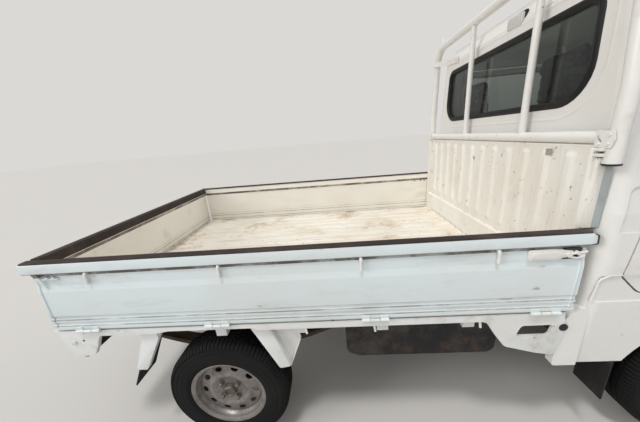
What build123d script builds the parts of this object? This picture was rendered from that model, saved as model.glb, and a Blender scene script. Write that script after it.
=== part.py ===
from build123d import *
from math import asin, cos, degrees, radians, sin, sqrt, tan
import os

# Kei truck: open cargo bed with three drop gates, headboard, guard frame and a
# full-width cab above the front wheels. Millimetres, +X forward, +Y left, +Z up,
# ground at z = 0, origin under the middle of the vehicle.

# Overall sizes, measured from the origin
front_end = 1697.5
rear_end = 1697.5
half_width = 737.5
nose_x = front_end - 42.5
front_axle_x = nose_x - 785
wheelbase = 1900
rear_axle_x = front_axle_x - wheelbase
track = 1300
gap = 6
seat_gap = 0.3

# Tyres and rims
tyre_radius = 267
tyre_width = 145
rim_radius = 155
rim_width = 118
wheel_y = track / 2
wheel_z = tyre_radius

# Cab
cab_back = 340
cab_side_wall = 55
cab_back_wall = 40
cab_front_wall = 45
cab_roof_wall = 35
belt = 1000
roof_seam = 1715
roof_crown = 70
roof_top = roof_seam + roof_crown
front_seam = nose_x - 194
door_front = front_seam - gap
platform_top = 696
footwell_top = 400
floor_plate = 20
arch_radius = 345

# Cargo bed
gate_thick = 37.5
gate_top = 945
gate_bottom = 650
rail_depth = 40
bed_front = cab_back - 24
gate_length = rear_end + bed_front
floor_top = 659
sill_y = half_width - 10.5
sill_inner = half_width - 47.5
sill_top = 640
sill_bottom = 612
hinge_y = half_width - 2
hinge_z = gate_bottom - 5
head_x = cab_back - 40
skirt_x = cab_back - 58

# Chassis rails
rail_y = 360
rail_wide = 60
rail_high = 110
rail_rear_top = 560
rail_front_top = 360
rail_inner = rail_y - rail_wide / 2
rail_outer = rail_y + rail_wide / 2

# Spare wheel, flat between the rails above the rear axle
spare_x = 352 - rear_end
spare_z = rail_rear_top - 90

os.makedirs("parts", exist_ok=True)


def outline(rows):
    """A closed face in local XY; each row is a corner: x, y, corner radius."""
    with BuildSketch() as face:
        with BuildLine():
            FilletPolyline(*[(row[0], row[1]) for row in rows], radius=[row[2] for row in rows], close=True)
        make_face()
    return face.sketch


def prism(rows, plane, depth, both=False):
    """The outline of the rows, extruded from a plane."""
    with BuildPart() as solid:
        with BuildSketch(plane):
            add(outline(rows))
        extrude(amount=depth, both=both)
    return solid.part


def block(low, high):
    """A box between two corners."""
    size = [b - a for a, b in zip(low, high)]
    middle = tuple((a + b) / 2 for a, b in zip(low, high))
    with BuildPart() as solid:
        with Locations(middle):
            Box(*size)
    return solid.part


def save(solid, name):
    """Label a finished piece and write it."""
    solid.label = name
    export_step(solid, f"parts/{name}.step")


# Side-facing planes: local x is +X, local y is +Z, extruding towards -Y or +Y
def side_plane(side, y):
    """A plane at y on one side (-1 right, 1 left) whose normal points outwards."""
    x_dir = (1, 0, 0)
    return Plane(origin=(0, side * y, 0), x_dir=x_dir, z_dir=(0, side, 0))


def side_rows(rows, side):
    """Rows of x, z, radius as local rows of a side plane."""
    return [(row[0], -side * row[1], row[2]) for row in rows]


def side_prism(rows, side, y_near, y_far):
    """An outline of x, z, radius between two distances from the middle plane."""
    return prism(side_rows(rows, side), side_plane(side, y_near), y_far - y_near)


def cross_prism(rows, x_low, x_high):
    """An outline of y, z, radius between two x positions."""
    return prism(rows, Plane.YZ.offset(x_low), x_high - x_low)


# Cab body: plan sections lofted in straight steps
# Columns: z, half width, back x, front x, rear corner radius, front corner radius
cab_sections = [
    (330, half_width - 33.5, cab_back, nose_x - 13, 50, 190),
    (640, half_width - 10.5, cab_back, nose_x, 50, 190),
    (820, half_width - 0.5, cab_back, nose_x - 9, 50, 185),
    (belt, half_width - 2.5, cab_back, nose_x - 63, 50, 140),
    (roof_seam, half_width - 85.5, cab_back + 12, nose_x - 345, 50, 100),
    (roof_top, half_width - 131.5, cab_back + 48, nose_x - 430, 50, 90),
]
front_bow = 22


def cab_form(side_in, back_in, front_in, roof_in, square=False):
    """The cab's closed form, moved inwards by a wall on each side."""
    with BuildPart() as form:
        for z, half, back, front, rear_r, front_r in cab_sections:
            level = z - roof_in if z == roof_top else z
            level = level - 30 if z == cab_sections[0][0] and side_in else level
            y = half - side_in
            x0 = back + back_in
            x1 = front - front_in
            ra = 1 if square else rear_r - min(back_in, 35)
            rb = 1 if square else front_r - min(front_in, 60)
            bend = sqrt(0.5)
            with BuildSketch(Plane.XY.offset(level)):
                with BuildLine():
                    Line((x0, ra - y), (x0, y - ra))
                    ThreePointArc((x0, y - ra), (x0 + ra * (1 - bend), y - ra * (1 - bend)), (x0 + ra, y))
                    Line((x0 + ra, y), (x1 - rb, y))
                    ThreePointArc((x1 - rb, y), (x1 - rb * (1 - bend), y - rb * (1 - bend)), (x1, y - rb))
                    ThreePointArc((x1, y - rb), (x1 + front_bow, 0), (x1, rb - y))
                    ThreePointArc((x1, rb - y), (x1 - rb * (1 - bend), rb * (1 - bend) - y), (x1 - rb, -y))
                    Line((x1 - rb, -y), (x0 + ra, -y))
                    ThreePointArc((x0 + ra, -y), (x0 + ra * (1 - bend), ra * (1 - bend) - y), (x0, ra - y))
                make_face()
        loft(ruled=True)
    return form.part


cab_outer = cab_form(0, 0, 0, 0)
cab_inner = cab_form(cab_side_wall, cab_back_wall, cab_front_wall, cab_roof_wall)
cab_core = cab_form(cab_side_wall, -60, -60, -60, square=True)
cab_shell = cab_outer - cab_inner

big = 3000
above_seam = block((0, -big, roof_seam), (big, big, big))
below_seam = block((0, -big, 0), (big, big, roof_seam))
nose_zone = block((front_seam, -big, 0), (big, big, belt))
mid_zone_x = cab_back + 360
rear_zone = block((0, -big, platform_top - floor_plate), (mid_zone_x, big, big))
front_zone = block((mid_zone_x, -big, belt), (big, big, big))

# Door outline in side view. Columns: x, z, corner radius
door_back = cab_back + 104
door_top = roof_seam - 43
window_top = roof_seam - 87
door_rows = [
    (door_back + 16, door_top, 60), (door_back, 930, 400), (door_back - 18, 782, 30), (door_back + 61, 705, 60),
    (front_axle_x + 70, 705, 120), (front_axle_x + 280, 585, 60), (front_axle_x + 348, 410, 50),
    (door_front, 410, 60), (door_front, belt + 4, 260), (door_front - 277, door_top, 60),
]
window_rows = [
    (door_back + 68, window_top, 50), (door_back + 61, belt + 24, 40), (door_front - 65, belt + 24, 30),
    (door_front - 313, window_top, 50),
]
rear_window_half = half_width - 162.5
rear_window_top = roof_seam - 50
rear_window_rows = [
    (-rear_window_half, 1330, 130), (rear_window_half, 1330, 130),
    (rear_window_half - 20, rear_window_top, 60), (20 - rear_window_half, rear_window_top, 60),
]
screen_half = half_width - 112.5
screen_top = roof_seam - 35
screen_rows = [
    (-screen_half, belt + 28, 60), (screen_half, belt + 28, 60), (screen_half - 65, screen_top, 60),
    (65 - screen_half, screen_top, 60),
]
lamp_outer = half_width - 97.5
lamp_inner = lamp_outer - 245
headlamp_rows = [
    (lamp_inner, 690, 30), (lamp_outer, 700, 30), (lamp_outer, 850, 60), (lamp_inner, 815, 30),
]
edge_lean = 5


def grown(rows, amount):
    """The rows' outline grown outwards by an amount, as a sketch."""
    with BuildSketch() as face:
        add(outline(rows))
        if amount:
            offset(amount=amount, kind=Kind.INTERSECTION)
    return face.sketch


def door_cutter(side, amount):
    """A prism through one side wall that narrows inwards, so that the door swings free."""
    with BuildPart() as cutter:
        with BuildSketch(side_plane(side, half_width + 42.5)):
            add(grown(side_rows(door_rows, side), amount))
        extrude(amount=-220, taper=edge_lean)
    return cutter.part


def rear_window_cut():
    """The rear window's opening through the back wall."""
    return cross_prism(rear_window_rows, cab_back - 40, cab_back + 110)


def screen_cut():
    """The windscreen's opening, seen from the front."""
    with BuildPart() as cut:
        with BuildSketch(Plane.YZ.offset(nose_x - 605)):
            add(outline(screen_rows))
        extrude(amount=700)
    return cut.part


save(cab_shell & above_seam, "cab_roof")
walls = cab_shell & below_seam
inside = walls & cab_core

cab_back_panel = (inside & rear_zone) - rear_window_cut()
save(cab_back_panel, "cab_back_panel")

nose = walls & nose_zone
lamp_pockets = [
    cross_prism([(s * row[0], row[1], row[2]) for row in headlamp_rows], nose_x - 55, nose_x + 145) for s in (-1, 1)
]
cab_front_panel = (inside & front_zone) - screen_cut() + nose
for pocket in lamp_pockets:
    cab_front_panel = cab_front_panel - pocket

# Grille: a slot between the headlamps, filled by slats that lean back
grille_half = lamp_inner - 45
grille_low = 715
grille_high = 800
slat_pitch = 21
slat_high = 9
slat_depth = 22
grille_rows = [
    (-grille_half, grille_low, 20), (grille_half, grille_low, 20), (grille_half, grille_high, 20),
    (-grille_half, grille_high, 20),
]
grille_slot = cross_prism(grille_rows, nose_x - 100, nose_x + 100)
grille_wall = nose & grille_slot
cab_front_panel = cab_front_panel - grille_slot
save(cab_front_panel, "cab_front_panel")
grille = grille_wall & block((0, -big, grille_low), (nose_x - 18, big, grille_high))
slat_z = grille_low + slat_pitch / 2
while slat_z < grille_high:
    slat = block((nose_x - 60, -grille_half, slat_z - slat_high / 2), (nose_x + 60, grille_half, slat_z + slat_high / 2))
    grille = grille + (slat & grille_wall)
    slat_z += slat_pitch
save(grille, "grille")
headlamps = (nose & lamp_pockets[0]) + (nose & lamp_pockets[1])
save(headlamps, "headlamps")

glass = 5
glass_set = 12
glass_sheet_side = cab_form(glass_set + 10, glass_set, glass_set, 0) - cab_form(
    glass_set + 10 + glass, glass_set + glass, glass_set + glass, 0)
save(glass_sheet_side & screen_cut() & cab_core, "windscreen")
save(glass_sheet_side & rear_window_cut(), "rear_window")

# Side walls with the door opening, the wheel arch and the skirt behind
# Hinge leaves that fill the gap in front of the door. Columns: lowest z, outer y
door_hinge_rows = [(600, half_width - 17.5), (880, half_width - 7.5)]
door_hinge_high = 60
skirt_low = 392
skirt_outer = half_width - 15.5
skirt_rows = [
    (skirt_x, skirt_low, 12), (cab_back + 30, skirt_low, 0), (cab_back + 30, sill_top + 15, 0),
    (cab_back - 2, sill_top + 8, 0), (skirt_x, sill_top - 50, 20),
]
# Pressed hollows in the side: one behind the door that ends in the handle's, one along its foot
recess_depth = 5
recess_rows = [
    [(cab_back + 38, belt - 62, 8), (door_back + 176, belt - 62, 12), (door_back + 176, belt + 8, 12),
     (door_back + 2, belt + 8, 0), (door_back + 2, belt + 85, 0), (cab_back + 46, belt + 85, 25)],
    [(cab_back + 15, 679, 8), (front_axle_x + 310, 679, 8), (front_axle_x + 310, 784, 8), (cab_back + 25, 784, 8)],
]
recess_floor = cab_form(recess_depth, 0, 0, 0)
for side, word in ((1, "left"), (-1, "right")):
    half_space = block((0, min(0, side * big), 0), (big, max(0, side * big), big))
    wall = ((walls - cab_core) - nose_zone) & half_space
    for rows in recess_rows:
        wall = wall - (side_prism(rows, side, half_width - 40, half_width + 40) - recess_floor)
    shell_side = wall - door_cutter(side, gap)
    door = wall & door_cutter(side, 0)
    with BuildPart() as cab_side:
        add(shell_side)
        with BuildSketch(side_plane(side, half_width - 137.5)):
            with Locations((front_axle_x, -side * wheel_z)):
                Circle(arch_radius)
        extrude(amount=200, mode=Mode.SUBTRACT)
        with Locations((cab_back + 60, side * half_width, skirt_low - 52)):
            Box(400, 300, 104, mode=Mode.SUBTRACT)
        add(side_prism(skirt_rows, side, sill_inner, skirt_outer))
        for low, outer in door_hinge_rows:
            y0, y1 = sorted((side * (outer - 24), side * outer))
            zone = block((door_front - 30, y0, low), (door_front + 30, y1, low + door_hinge_high))
            add(zone & door_cutter(side, gap + 0.5) - door_cutter(side, seat_gap))
    save(cab_side.part, f"cab_side_{word}")
    with BuildPart() as door_shell:
        add(door)
        with BuildSketch(side_plane(side, 500)):
            add(outline(side_rows(window_rows, side)))
        extrude(amount=300, mode=Mode.SUBTRACT)
    save(door_shell.part, f"door_shell_{word}")
    with BuildPart() as door_glass:
        add(glass_sheet_side & half_space)
        with BuildSketch(side_plane(side, 500)):
            add(outline(side_rows(window_rows, side)))
        extrude(amount=300, mode=Mode.INTERSECT)
    save(door_glass.part, f"door_glass_{word}")

# Cab floor: seat platform, step over the wheels, riser and footwell
step_top = 656
step_x = front_axle_x + 110
riser_x = front_axle_x + arch_radius
floor_front_x = nose_x + 145
house_thick = 7
house_inner = 424
floor_rows = [
    (cab_back, platform_top - floor_plate, 0), (step_x - 25, platform_top - floor_plate, 20),
    (step_x - 5, step_top - floor_plate, 20), (riser_x - floor_plate, step_top - floor_plate, 0),
    (riser_x - floor_plate, footwell_top - floor_plate, 20), (floor_front_x, footwell_top - floor_plate, 0),
    (floor_front_x, footwell_top, 0), (riser_x, footwell_top, 20), (riser_x, step_top, 20),
    (step_x + 5, step_top, 20), (step_x - 15, platform_top, 20), (cab_back, platform_top, 0),
]
narrow = cab_form(cab_side_wall + gap, cab_back_wall, cab_front_wall, cab_roof_wall)
floor_profile = prism(floor_rows, Plane.XZ, 800, both=True)
rear_floor_zone = block((0, -big, 0), (step_x - 60, big, big))
low_floor_zone = block((0, -big, 0), (big, big, footwell_top + 1))
cab_floor = (floor_profile & narrow) + (floor_profile & cab_inner & rear_floor_zone)
cab_floor = cab_floor + (floor_profile & cab_inner & low_floor_zone)
house_outer = arch_radius + house_thick
for side in (-1, 1):
    with BuildPart() as well:
        with BuildSketch(side_plane(side, house_inner - house_thick)):
            with Locations((front_axle_x, -side * wheel_z)):
                Circle(house_outer)
        extrude(amount=400)
    cab_floor = cab_floor - well.part
save(cab_floor, "cab_floor")

house_bottom = 330
strut_y = 545
strut_hole = 62
houses = None
for side in (-1, 1):
    with BuildPart() as house:
        with BuildSketch(side_plane(side, house_inner - house_thick)):
            with Locations((front_axle_x, -side * wheel_z)):
                Circle(house_outer)
        extrude(amount=400)
        with BuildSketch(side_plane(side, house_inner)):
            with Locations((front_axle_x, -side * wheel_z)):
                Circle(arch_radius)
        extrude(amount=400, mode=Mode.SUBTRACT)
        with Locations((front_axle_x, side * strut_y, wheel_z + arch_radius)):
            Cylinder(strut_hole, 60, mode=Mode.SUBTRACT)
        add(block((0, -big, house_bottom), (big, big, big)), mode=Mode.INTERSECT)
        add(cab_inner, mode=Mode.INTERSECT)
    houses = house.part if houses is None else houses + house.part
save(houses, "front_wheel_houses")

# Seats
seat_y = 335
seat_half = 235
seat_back_x = cab_back + 142
seat_front = seat_back_x + 443
cushion_rows = [
    (seat_back_x + 5, platform_top + seat_gap, 10), (seat_front, platform_top + seat_gap, 20),
    (seat_front + 15, platform_top + 130, 50), (seat_back_x + 20, platform_top + 115, 20),
]
backrest_rows = [
    (seat_back_x - 30, platform_top + seat_gap, 10), (seat_back_x - 85, 1180, 60), (seat_back_x - 85, 1340, 40),
    (seat_back_x - 5, 1340, 40), (seat_back_x + 20, 1150, 60), (seat_back_x + 75, 900, 60),
    (seat_back_x + 4, platform_top + 125, 10), (seat_back_x + 4, platform_top + seat_gap, 5),
]
for rows, name in ((cushion_rows, "seat_cushions"), (backrest_rows, "seat_backs")):
    pair = None
    for side in (-1, 1):
        one = side_prism(rows, side, seat_y - seat_half, seat_y + seat_half)
        pair = one if pair is None else pair + one
    save(pair, name)

# Dashboard, steering column and steering wheel (driver on the right)
driver_y = -seat_y
wheel_centre = (nose_x - 610, driver_y, belt + 75)
column_tilt = 42
steering_radius = 185
steering_rim = 14
dash_x = nose_x - 370
dash_rows = [
    (dash_x, belt - 35, 60), (dash_x - 30, belt - 170, 40), (dash_x + 45, belt - 300, 30),
    (nose_x - 35, belt - 300, 0), (nose_x - 35, belt - 30, 0), (dash_x + 155, belt - 15, 80),
]
dash = prism(dash_rows, Plane.XZ, 800, both=True) & narrow
column_dir = (-sin(radians(column_tilt)), 0, cos(radians(column_tilt)))
column_plane = Plane(origin=wheel_centre, x_dir=(0, 1, 0), z_dir=column_dir)
with BuildPart() as column:
    with BuildSketch(column_plane.offset(-330)):
        Circle(34)
    extrude(amount=265.5)
column_solid = column.part
save(dash - column_solid, "dashboard")
save(column_solid, "steering_column")
with BuildPart() as steering_wheel:
    with Locations(column_plane):
        Torus(steering_radius, steering_rim)
    with BuildSketch(column_plane.offset(-50)):
        Circle(55)
    extrude(amount=45)
    with BuildSketch(column_plane.offset(-64)):
        Circle(20)
    extrude(amount=20)
    with BuildSketch(column_plane.offset(-30)):
        for turn in (0, 90, 180):
            reach = steering_radius / 2 + 20
            spot = (reach * cos(radians(turn)), reach * sin(radians(turn)))
            with Locations(Location(spot, turn)):
                Rectangle(steering_radius - 40, 34)
    extrude(amount=36)
save(steering_wheel.part, "steering_wheel")

# Front bumper with an air slot and the indicators in its corners
bumper_low = 285
bumper_top = 470
bumper_wall = 60


def plan_band(half, back, front, radius, low, high):
    """A rounded plan outline with a bowed front, between two heights."""
    bend = sqrt(0.5)
    with BuildPart() as band:
        with BuildSketch(Plane.XY.offset(low)):
            with BuildLine():
                Line((back, -half), (back, half))
                Line((back, half), (front - radius, half))
                ThreePointArc((front - radius, half), (front - radius * (1 - bend), half - radius * (1 - bend)),
                              (front, half - radius))
                ThreePointArc((front, half - radius), (front + front_bow, 0), (front, radius - half))
                ThreePointArc((front, radius - half), (front - radius * (1 - bend), radius * (1 - bend) - half),
                              (front - radius, -half))
                Line((front - radius, -half), (back, -half))
            make_face()
        extrude(amount=high - low)
    return band.part


bumper_back = front_seam + gap
bumper_front = front_end - front_bow
bumper_outer = plan_band(half_width, bumper_back, bumper_front, 200, bumper_low, bumper_top)
bumper_inner = plan_band(
    half_width - bumper_wall, 0, bumper_front - bumper_wall, 150, bumper_low - 1, bumper_top + 1)
bumper = bumper_outer - bumper_inner - cab_form(-seat_gap, 0, -seat_gap, 0)
slot_half = 300
slot_low = bumper_low + 45
slot_high = slot_low + 62
air_slot = cross_prism(
    [(-slot_half, slot_low, 25), (slot_half, slot_low, 25), (slot_half, slot_high, 25), (-slot_half, slot_high, 25)],
    bumper_front - 120, bumper_front + 60)
signal_low = bumper_top - 85
signal_high = bumper_top - 30
signals = None
for side in (-1, 1):
    zone = cross_prism([(side * 450, signal_low, 10), (side * 600, signal_low, 10), (side * 600, signal_high, 10),
                        (side * 450, signal_high, 10)], bumper_front - 150, bumper_front + 60)
    lens = zone & bumper
    bumper = bumper - zone
    signals = lens if signals is None else signals + lens
save(bumper - air_slot, "front_bumper")
save(signals, "turn_signals")

# Chassis rails: level under the bed, dropping to the front under the cab
rail_rear_x = 57.5 - rear_end
rail_front_x = nose_x - 65
rail_step_x = cab_back - 10
rail_rows = [
    (rail_rear_x, rail_rear_top - rail_high, 0), (rail_step_x, rail_rear_top - rail_high, 120),
    (rail_step_x + 230, rail_front_top - rail_high, 120), (rail_front_x, rail_front_top - rail_high, 0),
    (rail_front_x, rail_front_top, 0), (rail_step_x + 250, rail_front_top, 120),
    (rail_step_x + 20, rail_rear_top, 120), (rail_rear_x, rail_rear_top, 0),
]
rails = None
for side in (-1, 1):
    rail = side_prism(rail_rows, side, rail_y - rail_wide / 2, rail_y + rail_wide / 2)
    rails = rail if rails is None else rails + rail
save(rails, "chassis_rails")
# Cross members between the rails. Columns: x, lowest z, height
cross_rear_z = rail_rear_top - 90
cross_front_z = rail_front_top - 98
cross_rows = [
    (rail_rear_x - 7, cross_rear_z, 70), (rear_axle_x + 330, cross_rear_z, 70), (cab_back - 280, cross_rear_z, 70),
    (front_axle_x, cross_front_z, 80), (rail_front_x - 30, cross_front_z, 80),
]
crosses = None
for x, z, high in cross_rows:
    bar = block((x - 25, -rail_inner, z), (x + 25, rail_inner, z + high))
    crosses = bar if crosses is None else crosses + bar
# Brackets that carry the cab on the rails. Columns: x, lowest z, top z
mount_rows = [
    (cab_back + 55, rail_rear_top - 22, platform_top - floor_plate),
    (nose_x - 255, rail_front_top, footwell_top - floor_plate),
]
for x, low, high in mount_rows:
    for side in (-1, 1):
        y = side * rail_y
        crosses = crosses + (block((x - 35, y - 25, low), (x + 35, y + 25, high)) - rails)
# Engine mounts on the rails and the spare wheel's hanger
engine_half = 170
engine_back = cab_back - 10
engine_front = front_axle_x - 30
engine_low = rail_front_top - 130
mount_x = cab_back + 250
mount_z = rail_front_top - 62
for side in (-1, 1):
    y0, y1 = sorted((side * engine_half, side * rail_inner))
    crosses = crosses + block((mount_x - 30, y0, mount_z - 22), (mount_x + 30, y1, mount_z + 22))
hanger_z = spare_z + tyre_width / 2 + seat_gap
crosses = crosses + block((spare_x - 20, -rail_inner, hanger_z), (spare_x + 20, rail_inner, rail_rear_top - 2))
save(crosses, "chassis_crossmembers")

# Gate hinges: leaves and barrels on one axis, the gate's barrels outside the sill's
# Places along the gate, as parts of its length
hinge_places = [0.0847, 0.3494, 0.6499, 0.9469]
hinge_x = [gate_length * place - rear_end for place in hinge_places]
leaf = 4
leaf_half = 50
barrel_radius = 5
barrel_mid = 16


def hinge_leaf(side, x, on_gate):
    """One half of a side gate hinge at x: a leaf and its barrel pieces."""
    with BuildPart() as half:
        if on_gate:
            add(side_prism([(x - leaf_half, hinge_z, 0), (x + leaf_half, hinge_z, 0), (x + leaf_half, 678, 6),
                            (x - leaf_half, 678, 6)], side, hinge_y - leaf, hinge_y + 1))
            add(side_prism([(x - barrel_mid - 2, hinge_z - 9, 0), (x + barrel_mid + 2, hinge_z - 9, 0),
                            (x + barrel_mid + 2, gate_bottom + 2, 0), (x - barrel_mid - 2, gate_bottom + 2, 0)],
                           side, hinge_y - 20, hinge_y + 20), mode=Mode.SUBTRACT)
            spans = ((x - leaf_half, x - barrel_mid - 2), (x + barrel_mid + 2, x + leaf_half))
        else:
            add(side_prism([(x - barrel_mid, sill_bottom + 14, 0), (x + barrel_mid, sill_bottom + 14, 0),
                            (x + barrel_mid, hinge_z, 0), (x - barrel_mid, hinge_z, 0)], side, sill_y, sill_y + leaf))
            spans = ((x - barrel_mid, x + barrel_mid),)
        for low, high in spans:
            with BuildSketch(Plane.YZ.offset(low)):
                with Locations((side * hinge_y, hinge_z)):
                    Circle(barrel_radius)
            extrude(amount=high - low)
    return half.part


# Bed floor: one corrugated sheet with ribs along the bed
def corrugated(length, pitch, crest, slope, depth, sheet):
    """Outline points of a ribbed sheet: crests up, centred on zero."""
    count = int((length / 2 - crest / 2 - slope) // pitch)
    top = [(-length / 2, 0)]
    for i in range(-count, count + 1):
        mid = i * pitch
        top += [(mid - crest / 2 - slope, 0), (mid - crest / 2, depth), (mid + crest / 2, depth),
                (mid + crest / 2 + slope, 0)]
    top.append((length / 2, 0))
    return top + [(x, y - sheet) for x, y in reversed(top)]


floor_half = half_width - 39.5
bed_rear = 36.5 - rear_end
floor_front = head_x - 18
floor_pts = corrugated(2 * floor_half, 86, 52, 6, 8, 4)
with BuildPart() as bed_floor:
    with BuildSketch(Plane.YZ.offset(bed_rear)):
        with BuildLine():
            Polyline(*[(y, floor_top - 8 + z) for y, z in floor_pts], close=True)
        make_face()
    extrude(amount=floor_front - bed_rear)
save(bed_floor.part, "bed_floor")
floor_under = floor_top - 12

bed_bars = None
bar_count = 7
bar_half = 22
bar_first = 32.5 - rear_end
bar_pitch = (head_x - bar_first) / (bar_count - 1)
for i in range(bar_count):
    x = bar_first + i * bar_pitch
    top = sill_top if i == 0 else floor_under
    bar = block((x - bar_half, -sill_inner, rail_rear_top), (x + bar_half, sill_inner, top))
    bed_bars = bar if bed_bars is None else bed_bars + bar
tail_hinge_y = [-430, 430]
tail_leaves = []
for on_gate in (True, False):
    for y in tail_hinge_y:
        leaf_part = hinge_leaf(1, 0, on_gate).rotate(Axis.Z, 90).translate((0, y, 0))
        tail_leaves.append(leaf_part.translate((half_width - rear_end + barrel_radius - 2, 0, 0)))
for leaf_part in tail_leaves[2:]:
    bed_bars = bed_bars + leaf_part
save(bed_bars, "bed_crossmembers")

# Side sills with the drop panel behind the cab and the rear corner bracket
wheel_raise = 10
sill_rear = 10.5 - rear_end
sill_front = skirt_x + 2
sill_rows = [
    (sill_rear, sill_top, 0), (sill_rear, 600, 0), (sill_rear + 66, 506, 12), (sill_rear + 165, 549, 12),
    (sill_rear + 187, sill_bottom, 0), (rear_axle_x - 232, sill_bottom, 0),
    (rear_axle_x - 175, sill_bottom + wheel_raise, 0), (rear_axle_x + 165, sill_bottom + wheel_raise, 0),
    (rear_axle_x + 185, sill_bottom, 0), (sill_front - 268, sill_bottom, 30), (sill_front - 244, 540, 60),
    (sill_front - 174, 499, 30), (sill_front - 18, 457, 12), (sill_front - 13, 600, 20),
    (sill_front, sill_bottom, 0), (sill_front, sill_top, 0),
]
slot_rows = [
    (sill_front - 162, 548, 15), (sill_front - 56, 556, 15), (sill_front - 38, 596, 15), (sill_front - 150, 590, 15),
]
sill_wall = 4
guard_y = sill_y - 15
sills = None
for side in (-1, 1):
    with BuildPart() as sill:
        add(side_prism(sill_rows, side, sill_y - sill_wall, sill_y))
        add(side_prism([(sill_rear, sill_top, 0), (sill_rear, sill_top - sill_wall, 0),
                        (sill_front, sill_top - sill_wall, 0), (sill_front, sill_top, 0)], side, sill_inner, sill_y))
        add(side_prism(slot_rows, side, sill_y - 50, sill_y + 5), mode=Mode.SUBTRACT)
        for x in hinge_x:
            add(hinge_leaf(side, x, False))
        lip = side_prism(sill_rows, side, guard_y, sill_y) & block((-big, -big, 604), (big, big, sill_top))
        add(lip)
    sills = sill.part if sills is None else sills + sill.part
save(sills, "bed_sills")

# Gates. Columns: inset from the outer face, z, corner radius
rail_low = gate_top - rail_depth
gate_rows = [
    (0, gate_top, 3), (0, rail_low, 3), (13, rail_low - 6, 4), (5, 828, 20), (5, 713, 0), (10, 706, 0), (10, 698, 0),
    (5, 691, 0), (5, 686, 0), (10, 680, 0), (10, 672, 0), (5, 665, 0), (5, gate_bottom, 0), (31, gate_bottom, 0),
    (31, gate_top - 55, 6), (gate_thick, gate_top - 42, 4), (gate_thick, gate_top, 3),
]
gate_rear = -rear_end
for side, word in ((1, "left"), (-1, "right")):
    with BuildPart() as side_gate:
        add(cross_prism([(side * (half_width - row[0]), row[1], row[2]) for row in gate_rows], gate_rear, bed_front))
        for x in (gate_rear, bed_front - 26):
            y = side * (half_width - 19)
            with Locations((x + 13, y, (gate_bottom + gate_top) / 2)):
                Box(26, gate_thick - 2, gate_top - gate_bottom - 8)
        for x in hinge_x:
            add(hinge_leaf(side, x, True))
    save(side_gate.part, f"side_gate_{word}")

tail_half = half_width - 43.5
with BuildPart() as tail_gate:
    add(prism([(row[0] - rear_end, row[1], row[2]) for row in gate_rows], Plane.XZ, tail_half, both=True))
    for leaf_part in tail_leaves[:2]:
        add(leaf_part)
save(tail_gate.part, "tail_gate")

# Headboard: ribbed sheet between two posts under a top rail
head_bottom = floor_under + seat_gap
head_top = 1179
head_half = half_width - 43.5
head_rib_depth = 14
head_ledge_z = 780
head_pts = corrugated(2 * head_half - 40, 140, 46, 12, head_rib_depth, 4)
with BuildPart() as headboard:
    with BuildSketch(Plane.XY.offset(head_bottom)):
        with BuildLine():
            Polyline(*[(head_x - z, y) for y, z in head_pts], close=True)
        make_face()
    extrude(amount=head_top - head_bottom - 20)
    for side in (-1, 1):
        with Locations((head_x + 4, side * (head_half - 14), (head_bottom + head_top) / 2)):
            Box(40, 28, head_top - head_bottom)
    with Locations((head_x + 4, 0, head_top - 14)):
        Box(40, 2 * head_half, 28)
    with Locations((head_x - head_rib_depth / 2, 0, head_ledge_z)):
        Box(head_rib_depth, 2 * head_half - 40, 14)
save(headboard.part, "headboard")

# Guard frame of tubes over the headboard
guard_x = cab_back - 38
guard_radius = 22
guard_half = half_width - 20.5
guard_top = 1831
guard_low = 1152
guard_cross_z = 1233
guard_bend = 60
bar_radius = 14
guard_bar_y = (-320, 180)
stub_top = guard_top + 54
bracket_z = guard_top - 106


def tube(start, end, radius):
    """A round bar between two points."""
    path = Line(start, end)
    with BuildPart() as bar:
        with BuildSketch(Plane(origin=start, z_dir=path % 0)):
            Circle(radius)
        extrude(amount=path.length)
    return bar.part


bend_y = guard_half - guard_bend
bend_z = guard_top - guard_bend
guard_parts = [
    tube((guard_x, -bend_y, guard_top), (guard_x, bend_y, guard_top), guard_radius),
    tube((guard_x, -guard_half, guard_cross_z), (guard_x, guard_half, guard_cross_z), guard_radius - 2),
]
for y in guard_bar_y:
    guard_parts.append(tube((guard_x, y, guard_cross_z), (guard_x, y, guard_top), bar_radius))
for side in (-1, 1):
    guard_parts.append(tube((guard_x, side * guard_half, guard_low), (guard_x, side * guard_half, bend_z), guard_radius))
    with BuildPart() as elbow:
        with BuildSketch(Plane.XY.offset(bend_z)):
            with Locations((guard_x, side * guard_half)):
                Circle(guard_radius)
        revolve(axis=Axis((guard_x, side * bend_y, bend_z), (side, 0, 0)), revolution_arc=90)
    guard_parts.append(elbow.part)
    stub_y = side * (guard_half - guard_bend - 2)
    guard_parts.append(tube((guard_x, stub_y, guard_top), (guard_x, stub_y, stub_top), bar_radius))
    foot_y = side * (guard_half - 157)
    guard_parts.append(block((guard_x - 15, foot_y - 22, head_top), (guard_x + 15, foot_y + 22, guard_cross_z)))
    plate_y = side * (half_width - 107.5)
    guard_parts.append(block((guard_x, min(plate_y, side * guard_half), bracket_z - 14),
                             (guard_x + 65, max(plate_y, side * guard_half), bracket_z + 14)))
guard_frame = guard_parts[0]
for piece in guard_parts[1:]:
    guard_frame = guard_frame + piece
save(guard_frame - cab_form(-seat_gap, -seat_gap, 0, -seat_gap), "guard_frame")

# Work lamp on the cab's back above the rear window
work_lamp_z = roof_seam + 7.5
work_lamp = block((cab_back - 7, -178, work_lamp_z - 28.5), (cab_back + 60, -60, work_lamp_z + 28.5))
save(work_lamp - cab_form(-seat_gap, -seat_gap, 0, -seat_gap), "bed_lamp")

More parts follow.
